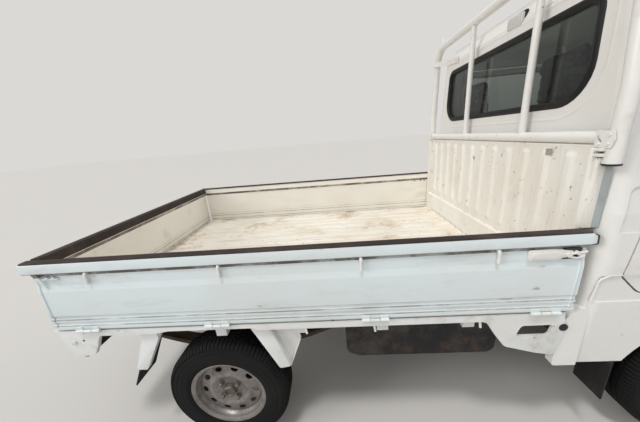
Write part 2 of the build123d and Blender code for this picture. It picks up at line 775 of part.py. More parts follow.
# Rear lamps on the rear cross member
lamp_low = 462
tail_lamp_y = sill_inner - 8
tail_lamp_wide = 202
lamps = None
for side in (-1, 1):
    y0, y1 = sorted((side * tail_lamp_y, side * (tail_lamp_y - tail_lamp_wide)))
    lamp = block((sill_rear, y0, lamp_low), (sill_rear + 45, y1, rail_rear_top))
    lamps = lamp if lamps is None else lamps + lamp
save(lamps, "rear_lamps")

# Running gear
axle_z = wheel_z
axle_radius = 36
hub_radius = 52
hub_face = wheel_y + 28
strut_top = platform_top - floor_plate - seat_gap


def circle_rows(x, z, radius):
    """A round outline as a square with its corners fully rounded."""
    edge = radius - 0.001
    return [(x - radius, z - radius, edge), (x + radius, z - radius, edge), (x + radius, z + radius, edge),
            (x - radius, z + radius, edge)]


with BuildPart() as rear_axle:
    with BuildSketch(Plane.XZ.offset(-560)):
        with Locations((rear_axle_x, axle_z)):
            Circle(axle_radius)
    extrude(amount=1120)
    with Locations((rear_axle_x, 0, axle_z)):
        Sphere(115)
    with BuildSketch(Plane.XZ.offset(-608)):
        with Locations((rear_axle_x, axle_z)):
            Circle(105)
    extrude(amount=50)
    with BuildSketch(Plane.XZ.offset(558)):
        with Locations((rear_axle_x, axle_z)):
            Circle(105)
    extrude(amount=50)
    for side in (-1, 1):
        add(side_prism(circle_rows(rear_axle_x, axle_z, hub_radius), side, 600, hub_face - seat_gap))
save(rear_axle.part, "rear_axle")

spring_y = 460
spring_wide = 60
spring_eye_z = 420
spring_leaf = 16
spring_rear_x = 177.5 - rear_end
spring_front_x = rear_axle_x + 490
springs = None
for side in (-1, 1):
    with BuildPart() as spring:
        with BuildSketch(side_plane(side, spring_y - spring_wide / 2)):
            for x in (spring_rear_x, spring_front_x):
                middle = (x + rear_axle_x) / 2
                seat = axle_z + axle_radius + seat_gap
                pack_top = axle_z + 65
                with BuildLine():
                    Bezier((x, -side * spring_eye_z), (middle, -side * seat), (rear_axle_x, -side * seat))
                    Line((rear_axle_x, -side * seat), (rear_axle_x, -side * pack_top))
                    Bezier((rear_axle_x, -side * pack_top), (middle, -side * pack_top),
                           (x, -side * (spring_eye_z + spring_leaf)))
                    Line((x, -side * (spring_eye_z + spring_leaf)), (x, -side * spring_eye_z))
                make_face()
        extrude(amount=spring_wide)
        for x in (spring_rear_x, spring_front_x):
            with Locations((x, side * (rail_outer + spring_y + spring_wide / 2) / 2, 455)):
                Box(50, spring_y + spring_wide / 2 - rail_outer, 90)
    springs = spring.part if springs is None else springs + spring.part
save(springs, "leaf_springs")

shaft_front = engine_back
with BuildPart() as propeller_shaft:
    with BuildSketch(Plane(origin=(rear_axle_x + 110, 0, axle_z + 6), x_dir=(0, 1, 0), z_dir=(1, 0, 0.07))):
        Circle(28)
    extrude(amount=shaft_front - rear_axle_x - 100)
save(propeller_shaft.part - rear_axle.part, "propeller_shaft")
engine_top = step_top - floor_plate - 36
engine = block((engine_back, seat_gap - engine_half, engine_low), (engine_front, engine_half - seat_gap, engine_top))
engine = engine - propeller_shaft.part
save(engine, "engine_block")

# Fuel tank outside the right rail, muffler outside the left one
tank_rear = spring_front_x + 40
tank_front = tank_rear + 640
tank_low = rail_rear_top - 210
tank_high = rail_rear_top - 12
tank_rows = [
    (tank_rear, tank_low + 20, 40), (tank_rear + 60, tank_low, 40), (tank_front, tank_low, 40),
    (tank_front, tank_high, 20), (tank_rear, tank_high, 20),
]
save(side_prism(tank_rows, -1, rail_outer, rail_outer + 215), "fuel_tank")
muffler_x = spring_front_x + 40
muffler_y = rail_outer + 170
muffler_z = rail_rear_top - 135
muffler_radius = 75
muffler_length = 400
pipe_radius = 21
pipe_end = muffler_x + muffler_length + 370
exhaust = tube((muffler_x, muffler_y, muffler_z), (muffler_x + muffler_length, muffler_y, muffler_z), muffler_radius)
exhaust = exhaust + tube((muffler_x + muffler_length, muffler_y, muffler_z), (pipe_end, muffler_y, muffler_z), pipe_radius)
for x in (muffler_x + 60, muffler_x + muffler_length - 60):
    exhaust = exhaust + block((x - 15, rail_outer, muffler_z + 30), (x + 15, muffler_y - 50, muffler_z + 60))
save(exhaust, "exhaust")


# Wheels: tyre and rim turned from half sections. Columns: distance from the wheel's middle, radius
def turned(rows, radii, centre, side):
    """A ring turned about a wheel axis; rows are (offset outwards, radius)."""
    with BuildPart() as ring:
        with BuildSketch(Plane.XY):
            with BuildLine():
                FilletPolyline(*rows, radius=radii, close=True)
            make_face()
        revolve(axis=Axis.X)
    turned_part = ring.part.rotate(Axis.Z, 90 * side)
    return turned_part.translate(centre)


half_tyre = tyre_width / 2
shoulder = tyre_radius - 7
tyre_pts = [
    (-half_tyre + 14, rim_radius), (-half_tyre + 2, rim_radius + 20), (-half_tyre, 212), (-half_tyre + 4, shoulder - 14),
    (-half_tyre + 13, shoulder), (-half_tyre + 28, tyre_radius), (half_tyre - 28, tyre_radius),
    (half_tyre - 13, shoulder), (half_tyre - 4, shoulder - 14), (half_tyre, 212), (half_tyre - 2, rim_radius + 20),
    (half_tyre - 14, rim_radius),
]
half_rim = rim_width / 2
rim_seat = 6
well_radius = rim_radius - 17
rim_pts = [
    (-half_rim, rim_radius - rim_seat), (-half_rim, rim_radius), (half_rim, rim_radius),
    (half_rim, rim_radius - rim_seat), (34, well_radius), (28, well_radius - 10), (28, 108), (42, 90), (37, 62),
    (37, 32), (28, 32), (28, 62), (34, 84), (20, 103), (20, well_radius), (-half_rim, well_radius),
]
hand_holes = 8
hand_radius = 117
hand_long = 34
hand_wide = 20
wheel_rows = (("front_left", front_axle_x, 1), ("front_right", front_axle_x, -1),
              ("rear_left", rear_axle_x, 1), ("rear_right", rear_axle_x, -1))
with BuildPart() as hand_cutter:
    with BuildSketch(Plane.YZ):
        with PolarLocations(hand_radius, hand_holes):
            SlotOverall(hand_long, hand_wide, rotation=90)
    extrude(amount=half_rim)
for word, x, side in wheel_rows:
    centre = (x, side * wheel_y, wheel_z)
    tyre = turned(tyre_pts, [0] * len(tyre_pts), centre, side)
    save(tyre, f"tyre_{word}")
    rim = turned(rim_pts, [0] * len(rim_pts), centre, side)
    cutter = hand_cutter.part.rotate(Axis.Z, 90 * side).translate(centre)
    save(rim - cutter, f"rim_{word}")

spare_pts = tyre_pts[:-1] + [
    (half_tyre - 14, rim_radius), (half_tyre - 20, 60), (half_tyre - 50, 60), (half_tyre - 50, well_radius),
    (-half_tyre + 14, well_radius),
]
spare = turned(spare_pts, [0] * len(spare_pts), (0, 0, 0), 0)
save(spare.rotate(Axis.Y, -90).translate((spare_x, 0, spare_z)), "spare_wheel")

# Front struts and knuckles on the steering axis, and the lower arms
ball_z = 200
drum_radius = 98
for side, word in ((1, "left"), (-1, "right")):
    # Columns: radius, lowest z, top z of the turned pieces on the steering axis
    strut_rows = [
        (20, ball_z, 240), (22, 225, 548), (48, 548, 556), (42, 550, strut_top - 11), (55, strut_top - 13, strut_top),
    ]
    with BuildPart() as knuckle:
        for radius, low, high in strut_rows:
            with BuildSketch(Plane.XY.offset(low)):
                with Locations((front_axle_x, side * strut_y)):
                    Circle(radius)
            extrude(amount=high - low)
        add(block((front_axle_x - 28, min(side * strut_y, side * 610), 232),
                  (front_axle_x + 28, max(side * strut_y, side * 610), 296)))
        add(side_prism(circle_rows(front_axle_x, wheel_z, drum_radius), side, 604, 662))
        add(side_prism(circle_rows(front_axle_x, wheel_z, hub_radius), side, 604, hub_face - seat_gap))
    save(knuckle.part, f"knuckle_{word}")

arm_thick = 15
arm_plan = [(-110, 300, 20), (110, 300, 20), (24, 568, 23), (-24, 568, 23)]
arms = None
for side in (-1, 1):
    with BuildPart() as arm:
        with BuildSketch(Plane.XY.offset(ball_z - seat_gap - arm_thick)):
            with Locations((front_axle_x, 0)):
                add(outline([(row[0], side * row[1], row[2]) for row in arm_plan]))
        extrude(amount=arm_thick)
        for x in (front_axle_x - 80, front_axle_x + 80):
            with Locations((x, side * rail_y, (ball_z - 8 + rail_front_top - rail_high) / 2)):
                Box(36, 44, rail_front_top - rail_high - ball_z + 8)
    arms = arm.part if arms is None else arms + arm.part
save(arms, "lower_arms")

# Mudguard brackets and rubber flaps round the rear wheels, flaps behind the front wheels
plate = 4
rear_strip_rows = [
    (rear_axle_x - 276, sill_bottom, 0), (rear_axle_x - 210, sill_bottom, 0), (rear_axle_x - 320, 434, 8),
    (rear_axle_x - 344, 434, 8),
]
front_plate_rows = [
    (rear_axle_x + 180, sill_bottom + wheel_raise, 0), (rear_axle_x + 292, 436, 12), (rear_axle_x + 354, 560, 12),
    (rear_axle_x + 340, sill_bottom, 0),
]
# The front plate's two folded flanges. Columns: x, z of the two ends of a fold
flange_rows = [
    ((rear_axle_x + 292, 440), (rear_axle_x + 354, 560)), ((rear_axle_x + 184, sill_bottom), (rear_axle_x + 290, 440)),
]
flange_wide = 34
brackets = None
for side in (-1, 1):
    for rows in (rear_strip_rows, front_plate_rows):
        one = side_prism(rows, side, guard_y - plate, guard_y)
        brackets = one if brackets is None else brackets + one
    for (x0, z0), (x1, z1) in flange_rows:
        fold_rows = [(x0, z0, 0), (x0 + plate, z0, 0), (x1 + plate, z1, 0), (x1, z1, 0)]
        brackets = brackets + side_prism(fold_rows, side, guard_y - flange_wide, guard_y)
save(brackets, "rear_mudguards")
flap_thick = 6
flap_top = rail_rear_top - gap
rear_flap_rows = [
    (rear_axle_x - 297, flap_top, 0), (rear_axle_x - 411, 321, 0), (rear_axle_x - 411 - flap_thick, 323, 0),
    (rear_axle_x - 297 - flap_thick, flap_top, 0),
]
front_flap_x = front_axle_x - arch_radius - 15
front_flap_rows = [
    (front_flap_x, 200, 0), (front_flap_x + flap_thick, 200, 0), (front_flap_x + flap_thick, skirt_low, 0),
    (front_flap_x, skirt_low, 0),
]
flaps = None
for side in (-1, 1):
    for rows, near, far in ((rear_flap_rows, wheel_y - half_tyre, guard_y - plate - seat_gap),
                            (front_flap_rows, wheel_y - 60, skirt_outer - 7)):
        one = side_prism(rows, side, near, far)
        flaps = one if flaps is None else flaps + one
save(flaps, "mud_flaps")

# Door mirrors
mirror_x = door_front - 57
mirror_y = half_width - 22.5
mirror_z = belt - 12
for side, word in ((1, "left"), (-1, "right")):
    with BuildPart() as mirror:
        foot_rows = [(mirror_x - 28, mirror_z, 8), (mirror_x + 28, mirror_z, 8), (mirror_x + 22, mirror_z + 52, 8),
                     (mirror_x - 22, mirror_z + 52, 8)]
        add(side_prism(foot_rows, side, mirror_y, mirror_y + 27))
        arm_path = [(mirror_x, side * (mirror_y + 20), mirror_z + 24), (mirror_x, side * (mirror_y + 60), mirror_z + 52),
                    (mirror_x, side * (mirror_y + 107), mirror_z + 142)]
        with BuildLine() as bend_line:
            FilletPolyline(*arm_path, radius=20)
        with BuildSketch(Plane(origin=arm_path[0], z_dir=bend_line.line % 0)):
            Circle(9)
        sweep(path=bend_line.line)
        head_rows = [(mirror_x - 26, mirror_z + 112, 12), (mirror_x + 22, mirror_z + 112, 20),
                     (mirror_x + 26, mirror_z + 322, 20), (mirror_x - 26, mirror_z + 322, 12)]
        add(side_prism(head_rows, side, mirror_y + 53, mirror_y + 165))
    save(mirror.part - cab_outer, f"mirror_{word}")
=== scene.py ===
# %% [markdown]
# # A small cargo truck in Blender
#
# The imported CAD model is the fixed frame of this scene. It gives the true sizes, and
# Blender gives the looks: paint, rust, rubber, glass, and the small parts that a CAD
# model leaves out. Everything is in metres, +X forward, +Y to the truck's left.

# %% Load the frame
import math

import bmesh
import bpy
from mathutils import Matrix, Vector, noise


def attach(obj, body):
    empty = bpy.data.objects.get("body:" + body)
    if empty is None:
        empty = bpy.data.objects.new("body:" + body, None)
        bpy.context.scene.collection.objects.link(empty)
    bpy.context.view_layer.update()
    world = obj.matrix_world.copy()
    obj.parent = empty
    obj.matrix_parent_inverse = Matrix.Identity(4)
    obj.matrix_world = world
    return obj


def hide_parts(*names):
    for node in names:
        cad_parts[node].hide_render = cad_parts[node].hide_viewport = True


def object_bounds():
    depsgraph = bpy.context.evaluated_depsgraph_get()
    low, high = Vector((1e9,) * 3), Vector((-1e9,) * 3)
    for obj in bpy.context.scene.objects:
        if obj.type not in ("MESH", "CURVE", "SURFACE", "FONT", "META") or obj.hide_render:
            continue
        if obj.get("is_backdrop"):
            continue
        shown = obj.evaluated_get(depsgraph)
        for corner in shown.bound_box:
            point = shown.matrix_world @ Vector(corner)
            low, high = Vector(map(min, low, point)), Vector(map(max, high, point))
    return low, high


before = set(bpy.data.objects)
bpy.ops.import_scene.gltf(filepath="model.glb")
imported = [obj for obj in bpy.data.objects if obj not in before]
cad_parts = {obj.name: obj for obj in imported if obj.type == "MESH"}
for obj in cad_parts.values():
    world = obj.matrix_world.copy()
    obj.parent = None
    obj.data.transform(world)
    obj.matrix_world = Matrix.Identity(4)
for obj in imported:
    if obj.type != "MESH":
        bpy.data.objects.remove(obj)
cad_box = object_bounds()
MM = 0.001


def linked(name, data):
    """A new object in the scene."""
    thing = bpy.data.objects.new(name, data)
    bpy.context.scene.collection.objects.link(thing)
    return thing


def wired(tree, nodes, links):
    """Joins nodes: each link is a node, its output, another node and its input."""
    for source, output, target, entry in links:
        tree.links.new(nodes[source].outputs[output], nodes[target].inputs[entry])


print("CAD nodes:", len(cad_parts))

# %% [markdown]
# The camera is a wide lens held over the right side of the bed, a little above the
# cab's belt line. A camera can be aimed with a target, or by its three axes. The axes
# were fitted to the real picture, so they are written out: right, up and backwards.

# %% Camera
FRAME_WIDTH = 640
FRAME_HEIGHT = 422
FOCAL_PIXELS = 259.97
MIDDLE_PIXEL = (319.58, 221.35)

lens = bpy.data.cameras.new("camera")
lens.sensor_width = 36
lens.lens = FOCAL_PIXELS / FRAME_WIDTH * lens.sensor_width
lens.shift_x = (FRAME_WIDTH / 2 - MIDDLE_PIXEL[0]) / FRAME_WIDTH
lens.shift_y = (MIDDLE_PIXEL[1] - FRAME_HEIGHT / 2) / FRAME_WIDTH
lens.clip_start = 0.02
right = Vector((0.99561, 0.04485, -0.08214))
up = Vector((0.0642, 0.31129, 0.94814))
turn = Matrix((right, up, right.cross(up))).transposed().to_4x4()
camera = linked("camera", lens)
camera.matrix_world = Matrix.Translation((-0.5059, -1.5448, 1.3048)) @ turn
bpy.context.scene.camera = camera
print("lens", round(lens.lens, 2), "mm")

# %% [markdown]
# A material is a small network of nodes. Written node by node it is long and hard to
# read, so two small classes do the typing. A Wire is the output of a node, and sums on
# wires add Math nodes. A Finish is one material with its shader, and its one method
# `add` makes any other node.

# %% Helpers for finishes
class Wire:
    """One output socket, with arithmetic that adds Math nodes."""

    def __init__(self, finish, socket):
        self.finish = finish
        self.socket = socket

    def math(self, operation, *values):
        return self.finish.add("ShaderNodeMath", {"operation": operation}, dict(enumerate(values)))

    __add__ = lambda self, other: self.math("ADD", self, other)
    __radd__ = lambda self, other: self.math("ADD", other, self)
    __sub__ = lambda self, other: self.math("SUBTRACT", self, other)
    __mul__ = lambda self, other: self.math("MULTIPLY", self, other)
    __pow__ = lambda self, other: self.math("POWER", self, other)
    __abs__ = lambda self: self.math("ABSOLUTE", self)


def socket_name(key):
    """The shader's own name for a socket that is written as a plain word."""
    return " ".join("IOR" if word == "ior" else word.title() for word in key.split("_"))


class Finish:
    """One procedural material: a Principled shader and the nodes that feed it."""

    def __init__(self, name, **fixed):
        self.material = bpy.data.materials.new(name)
        self.material.use_nodes = True
        self.tree = self.material.node_tree
        self.shader = self.tree.nodes["Principled BSDF"]
        self.place = self.add("ShaderNodeTexCoord", output="Object")
        self.set(**fixed)

    def add(self, kind, settings=None, inputs=None, output=0):
        """A node of this kind, its settings made first, then its sockets."""
        node = self.tree.nodes.new(kind)
        for key, value in (settings or {}).items():
            setattr(node, key, value)
        for key, value in (inputs or {}).items():
            self.plug(node.inputs[key], value)
        return Wire(self, node.outputs[output])

    def plug(self, socket, value):
        """Puts a wire, a colour or a number into a socket."""
        if isinstance(value, Wire):
            self.tree.links.new(value.socket, socket)
        elif socket.type == "RGBA":
            socket.default_value = (*value[:3], 1)
        else:
            socket.default_value = value

    def set(self, **values):
        """Fills the shader's sockets and gives the material."""
        for key, value in values.items():
            self.plug(self.shader.inputs[socket_name(key)], value)
        return self.material

    def noise(self, scale, detail=3, rough=0.55, stretch=(1, 1, 1)):
        """Cloudy noise from 0 to 1; scale is in blobs per metre, stretch makes streaks."""
        spot = self.add("ShaderNodeVectorMath", {"operation": "MULTIPLY"}, {0: self.place, 1: stretch})
        return self.add("ShaderNodeTexNoise", None, {
            "Vector": spot, "Scale": scale, "Detail": detail, "Roughness": rough})

    def flutes(self, scale):
        """Fine upright waves, as they are moulded into lamp glass."""
        return self.add("ShaderNodeTexWave", {"bands_direction": "Y"}, {"Vector": self.place, "Scale": scale})

    def level(self, value, low, high, start=0.0, end=1.0):
        """A soft step from start to end while value goes from low to high."""
        return self.add("ShaderNodeMapRange", {"interpolation_type": "SMOOTHSTEP"}, {
            "Value": value, "From Min": low, "From Max": high, "To Min": start, "To Max": end}, "Result")

    def mix(self, factor, first, second):
        """A colour between two colours."""
        return self.add("ShaderNodeMix", {"data_type": "RGBA"}, {0: factor, 6: first, 7: second}, 2)

    def axis(self, name):
        """One coordinate of the place on the object, in metres."""
        return self.add("ShaderNodeSeparateXYZ", None, {0: self.place}, name)

    def bump(self, height):
        """A surface normal tilted by a relief in metres."""
        return self.add("ShaderNodeBump", None, {"Height": height, "Distance": 1.0, "Strength": 1.0})


print("helpers ready")

# %% [markdown]
# Old white enamel is never one white. It yellows in broad patches, greys where hands
# and loads rub it, and shows small chips where the primer or rust looks through. The
# same recipe with other amounts serves the clean cab and the worn cargo bed.

# %% Paint finishes
ENAMEL_WARM = (0.66, 0.63, 0.56)
GRIME = (0.20, 0.17, 0.13)
RUST = (0.19, 0.075, 0.025)
CHIP = (0.035, 0.028, 0.022)
FOLD_SHADE_AND_DIRT = (0.085, 0.065, 0.050)
FOLD_EDGE = 0.0008
# Soft steps at the gates' inner faces, one over the square of y and one over x; outside them the gates keep a
# painted bluish skylight tint
INNER_SIDE = (0.511, 0.501)
INNER_TAIL = (-1.675, -1.668)


def enamel(name, warm, grime, chips, dents, base, grain=(1, 1, 1), inside=None, folds=()):
    """Worn enamel; inside colours what faces into the bed, and painted shade mixed with dirt sits in the
    folds.
    """
    paint = Finish(name, specular_ior_level=0.5)
    # The outer faces keep the base colour, which for the gates is a painted skylight tint; the faces into the
    # bed take the inside colour
    if inside:
        across = paint.axis("Y")
        within = paint.level(across * across, *INNER_SIDE) * paint.level(paint.axis("X"), *INNER_TAIL)
        base = paint.mix(within, base, inside)
    patches = paint.level(paint.noise(2.2, 4), 0.40, 0.68) * warm
    colour = paint.mix(patches, base, ENAMEL_WARM)
    rubbed = paint.level(paint.noise(9, 6, 0.7, grain), 0.52, 0.80) * grime
    colour = paint.mix(rubbed, colour, GRIME)
    fine_dirt = paint.level(paint.noise(60, 5, 0.75, grain), 0.60, 0.85) * (grime * 0.6)
    colour = paint.mix(fine_dirt, colour, GRIME)
    spot_field = paint.noise(38, 2, 0.5, grain)
    region = paint.level(paint.noise(4.5, 2), 0.48, 0.62)
    edge = 0.745 - 0.07 * chips
    halo = paint.level(spot_field, edge - 0.035, edge + 0.02) * region
    colour = paint.mix(halo * (0.75 * chips), colour, RUST)
    chip = paint.level(spot_field, edge + 0.012, edge + 0.03) * region
    colour = paint.mix(chip * min(1.0, 1.6 * chips), colour, CHIP)
    # Each fold gets a dark line: painted shade under the rail lip and below the beads, mixed with dirt
    for low, high, most in folds:
        height = paint.axis("Z")
        line = paint.level(height, low - FOLD_EDGE, low) * paint.level(height, high + FOLD_EDGE, high)
        broken = paint.level(paint.noise(8, 5, 0.7), 0.35, 0.6, most * 0.5, most)
        colour = paint.mix(line * broken, colour, FOLD_SHADE_AND_DIRT)
    rough = 0.34 + rubbed * 0.35 + chip * 0.3 + patches * 0.1
    relief = paint.noise(5, 2) * dents + chip * -0.00025
    return paint.set(base_color=colour, roughness=rough, normal=paint.bump(relief))


CAB_WHITE = (0.77, 0.76, 0.735)
# Heights of the gates' painted shade lines, mixed with dirt, and how dark each one is
GATE_FOLDS = [(0.8905, 0.9068, 0.95), (0.7125, 0.7150, 0.4), (0.6950, 0.6985, 0.75), (0.6670, 0.6700, 0.75)]
cab_paint = enamel("cab paint", 0.12, 0.12, 0.08, 0.0004, CAB_WHITE)
# The gates' bluish base is a painted skylight tint on their outer faces, and the cream is their inside colour
gate_paint = enamel("gate paint", 0.22, 0.28, 0.22, 0.0012, (0.71, 0.785, 0.81), (0.25, 1, 1),
                    (0.88, 0.85, 0.78), GATE_FOLDS)
guard_paint = enamel("guard frame paint", 0.15, 0.25, 0.5, 0.0002, CAB_WHITE)
sill_paint = enamel("sill paint", 0.3, 0.45, 0.45, 0.0005, (0.74, 0.755, 0.75))
# A dark blue-grey paint with heavy grime and chips, for the headboard's edge flanges
dark_edge_paint = enamel("dark edge paint", 0.1, 1.0, 1.0, 0.0004, (0.42, 0.46, 0.47), (1, 1, 0.3))
print("enamel finishes made")

# %% [markdown]
# The bed takes all the wear. Boxes are dragged along the ribs, so scratches run from
# front to back, and water that stands on the floor leaves brown tide marks near the
# edges.

# %% Bed floor and headboard finish
def bed_enamel(name, light, warm, drag, worn_amount, stain, chips):
    """Worn enamel: warm clouds, drag marks along one axis, brown stains and black chips."""
    paint = Finish(name)
    tone = paint.level(paint.noise(3, 4), 0.35, 0.7)
    colour = paint.mix(tone * 0.8, light, warm)
    worn = paint.level(paint.noise(30, 6, 0.72, drag), 0.52, 0.74)
    colour = paint.mix(worn * worn_amount, colour, (0.40, 0.33, 0.25))
    scratches = paint.level(paint.noise(90, 3, 0.6, drag), 0.62, 0.69)
    scratched = paint.level(paint.noise(2.6, 3), 0.42, 0.60)
    colour = paint.mix(scratches * scratched * (worn_amount * 1.3), colour, (0.13, 0.10, 0.08))
    tide = paint.level(paint.noise(3.4, 6, 0.7), 0.53, 0.66)
    colour = paint.mix(tide * stain, colour, (0.38, 0.25, 0.13))
    pits = paint.level(paint.noise(55, 3, 0.6), 0.655, 0.70) * paint.level(paint.noise(5, 2), 0.44, 0.56)
    colour = paint.mix(pits * chips, colour, CHIP)
    rough = 0.46 + worn * 0.25 + tide * 0.15
    relief = paint.noise(7, 3) * 0.0009 + scratches * -0.0002 + pits * -0.0003
    return paint.set(base_color=colour, roughness=rough, normal=paint.bump(relief))


floor_paint = bed_enamel(
    "bed floor paint", (0.80, 0.76, 0.68), (0.72, 0.64, 0.52), (0.05, 1, 1), 0.6, 0.6, 0.9)
headboard_paint = bed_enamel(
    "headboard paint", (0.82, 0.80, 0.75), (0.78, 0.745, 0.665), (1, 1, 0.10), 0.20, 0.10, 1.0)
print("bed finishes made")

# %% [markdown]
# The other finishes: dull black chassis paint with dust on top, tyre and flap rubber,
# brushed silver wheel paint, moulded plastic, vinyl, glass and lamp lenses.

# %% Dark, metal and clear finishes
def dusty_black(name, base, dust, amount, rust, rough, pebble=0.0002):
    """A dull dark coat with clouds of dust, and flakes of rust if asked for."""
    dull = Finish(name, specular_ior_level=0.22)
    cloud = dull.level(dull.noise(6, 5, 0.65), 0.42, 0.75) * amount
    colour = dull.mix(cloud, base, dust)
    if rust:
        colour = dull.mix(dull.level(dull.noise(22, 5, 0.7), 0.52, 0.68) * rust, colour, RUST)
    relief = dull.noise(300, 2) * pebble
    return dull.set(base_color=colour, roughness=rough + cloud * 0.5, normal=dull.bump(relief))


chassis_black = dusty_black("chassis black", (0.018, 0.018, 0.019), (0.16, 0.14, 0.115), 0.45, 0.25, 0.55)
rusty_steel = dusty_black("rusty steel", (0.07, 0.05, 0.04), (0.2, 0.15, 0.11), 0.6, 0.7, 0.7)
tyre_rubber = dusty_black("tyre rubber", (0.006, 0.006, 0.0065), (0.028, 0.026, 0.024), 0.4, 0, 0.85, 0.00015)
flap_rubber = dusty_black("flap rubber", (0.014, 0.014, 0.014), (0.07, 0.065, 0.06), 0.4, 0, 0.7)
moulded_black = dusty_black(
    "moulded black plastic", (0.02, 0.02, 0.021), (0.06, 0.058, 0.055), 0.3, 0, 0.45, 0.0003)
strip_rubber = dusty_black("rail strip rubber", (0.036, 0.026, 0.023), (0.12, 0.095, 0.08), 0.6, 0, 0.6)
seal_rubber = dusty_black("window seal rubber", (0.012, 0.012, 0.012), (0.04, 0.04, 0.04), 0.3, 0, 0.42)
cabin_plastic = dusty_black("cabin plastic", (0.05, 0.05, 0.052), (0.11, 0.105, 0.1), 0.3, 0, 0.55, 0.0004)

wheel = Finish("wheel silver", metallic=0.55)
dust = wheel.level(wheel.noise(14, 6, 0.7), 0.38, 0.72)
colour = wheel.mix(dust * 0.7, (0.27, 0.252, 0.24), (0.12, 0.093, 0.074))
colour = wheel.mix(wheel.level(wheel.noise(75, 3), 0.63, 0.70) * 0.6, colour, (0.09, 0.05, 0.03))
rim_silver = wheel.set(
    base_color=colour, roughness=0.38 + dust * 0.3, normal=wheel.bump(wheel.noise(160, 3) * 0.0002))


def zinc(name, clean, amount):
    """Plated steel with brown stains."""
    metal = Finish(name, metallic=0.8)
    stain = metal.level(metal.noise(45, 5, 0.7), 0.42, 0.66)
    colour = metal.mix(stain * amount, clean, (0.20, 0.14, 0.09))
    return metal.set(base_color=colour, roughness=0.42 + stain * 0.35)


hardware = zinc("zinc hardware", (0.52, 0.50, 0.46), 0.35)
hub_steel = zinc("wheel hub steel", (0.17, 0.155, 0.145), 0.5)
mirror_coat = Finish("bright metal", metallic=1.0)
haze = mirror_coat.level(mirror_coat.noise(30, 3), 0.4, 0.8)
bright_metal = mirror_coat.set(base_color=(0.86, 0.87, 0.88), roughness=0.05 + haze * 0.08)
clear = {"transmission_weight": 1.0, "ior": 1.45}
cab_glass = Finish("cab glass", roughness=0.0, **clear).set(base_color=(0.56, 0.60, 0.57))
lens_clear = Finish("clear lens", roughness=0.03, **clear).set(base_color=(0.92, 0.93, 0.93))


def lens_plastic(name, deep, bright):
    """Coloured lamp plastic, deep in the flutes and bright on them, as painted shade and highlight."""
    plastic = Finish(name, coat_weight=0.6, coat_roughness=0.05)
    flutes = plastic.flutes(26.0)
    # Across each flute the colour goes from deep to bright: painted shade and painted highlight
    return plastic.set(base_color=plastic.mix(flutes, deep, bright), roughness=0.16 + flutes * 0.1,
                       normal=plastic.bump(flutes * 0.0006))


def lamp_glass(name, y, z, radius):
    """A fluted glass at a place on the nose with a round reflector painted into its colour: a bright bowl as
    painted reflection, a dark ring and core as painted shade, and painted highlights on the flutes.
    """
    glass = Finish(name, metallic=0.75, coat_weight=0.7, coat_roughness=0.04)
    across = abs(glass.axis("Y")) - y
    up = glass.axis("Z") - z
    away = (across * across + up * up) ** 0.5
    # Painted reflector: a bright bowl as painted reflection in a darker surround, then a dark ring and core as
    # painted shade
    colour = glass.mix(glass.level(away, radius * 0.95, radius), (0.70, 0.71, 0.72), (0.40, 0.41, 0.42))
    ring = glass.level(away, radius * 0.78, radius * 0.95) * glass.level(away, radius * 1.25, radius)
    core = glass.level(away, radius * 0.42, radius * 0.2)
    colour = glass.mix(ring * 0.75 + core * 0.5, colour, (0.10, 0.10, 0.105))
    # Painted highlights on the flutes
    flutes = glass.flutes(34.0)
    colour = glass.mix(flutes * 0.35, colour, (0.80, 0.81, 0.82))
    return glass.set(base_color=colour, roughness=0.14 + flutes * 0.1, normal=glass.bump(flutes * 0.0006))


lens_red = lens_plastic("red lens", (0.20, 0.006, 0.006), (0.42, 0.02, 0.015))
lens_amber = lens_plastic("amber lens", (0.42, 0.11, 0.006), (0.70, 0.22, 0.02))
# The work lamp's opaque silver lens is painted reflection of a chrome bowl behind clear glass
lens_painted_reflector = lens_plastic("painted reflector lens", (0.50, 0.50, 0.485), (0.68, 0.68, 0.66))
headlamp_glass = lamp_glass("headlamp glass", 0.525, 0.762, 0.058)

skin = Finish("seat vinyl")
grain = skin.add("ShaderNodeTexVoronoi", None, {"Vector": skin.place, "Scale": 700}, "Distance")
creases = skin.noise(60, 4)
seat_vinyl = skin.set(
    base_color=skin.mix(skin.level(creases, 0.4, 0.7) * 0.5, (0.055, 0.055, 0.06), (0.16, 0.155, 0.15)),
    roughness=0.48 + creases * 0.2, normal=skin.bump(grain * 0.0003 + creases * 0.0008))
print("materials:", len(bpy.data.materials))

# %% [markdown]
# Each CAD node keeps its true shape and takes one of these finishes through its
# material slot. The pattern reads Object coordinates, so it stays on the steel.

# %% Dress the CAD nodes
DRESS = [
    (cab_paint, "cab_roof cab_back_panel cab_front_panel cab_side_left cab_side_right cab_floor "
                "door_shell_left door_shell_right"),
    (gate_paint, "side_gate_left side_gate_right tail_gate"),
    (sill_paint, "bed_sills bed_crossmembers rear_mudguards"),
    (guard_paint, "guard_frame"),
    (floor_paint, "bed_floor"),
    (headboard_paint, "headboard"),
    (cab_glass, "windscreen rear_window door_glass_left door_glass_right"),
    (chassis_black, "chassis_rails chassis_crossmembers engine_block fuel_tank front_wheel_houses lower_arms "
                    "knuckle_left knuckle_right"),
    (rusty_steel, "rear_axle leaf_springs propeller_shaft exhaust"),
    (moulded_black, "front_bumper grille mirror_left mirror_right bed_lamp"),
    (cabin_plastic, "dashboard steering_column steering_wheel"),
    (flap_rubber, "mud_flaps"),
    (lens_clear, "headlamps"),
    (lens_amber, "turn_signals"),
    (lens_red, "rear_lamps"),
    (seat_vinyl, "seat_cushions seat_backs"),
    (tyre_rubber, "tyre_front_left tyre_front_right tyre_rear_left tyre_rear_right spare_wheel"),
    (rim_silver, "rim_front_left rim_front_right rim_rear_left rim_rear_right"),
]
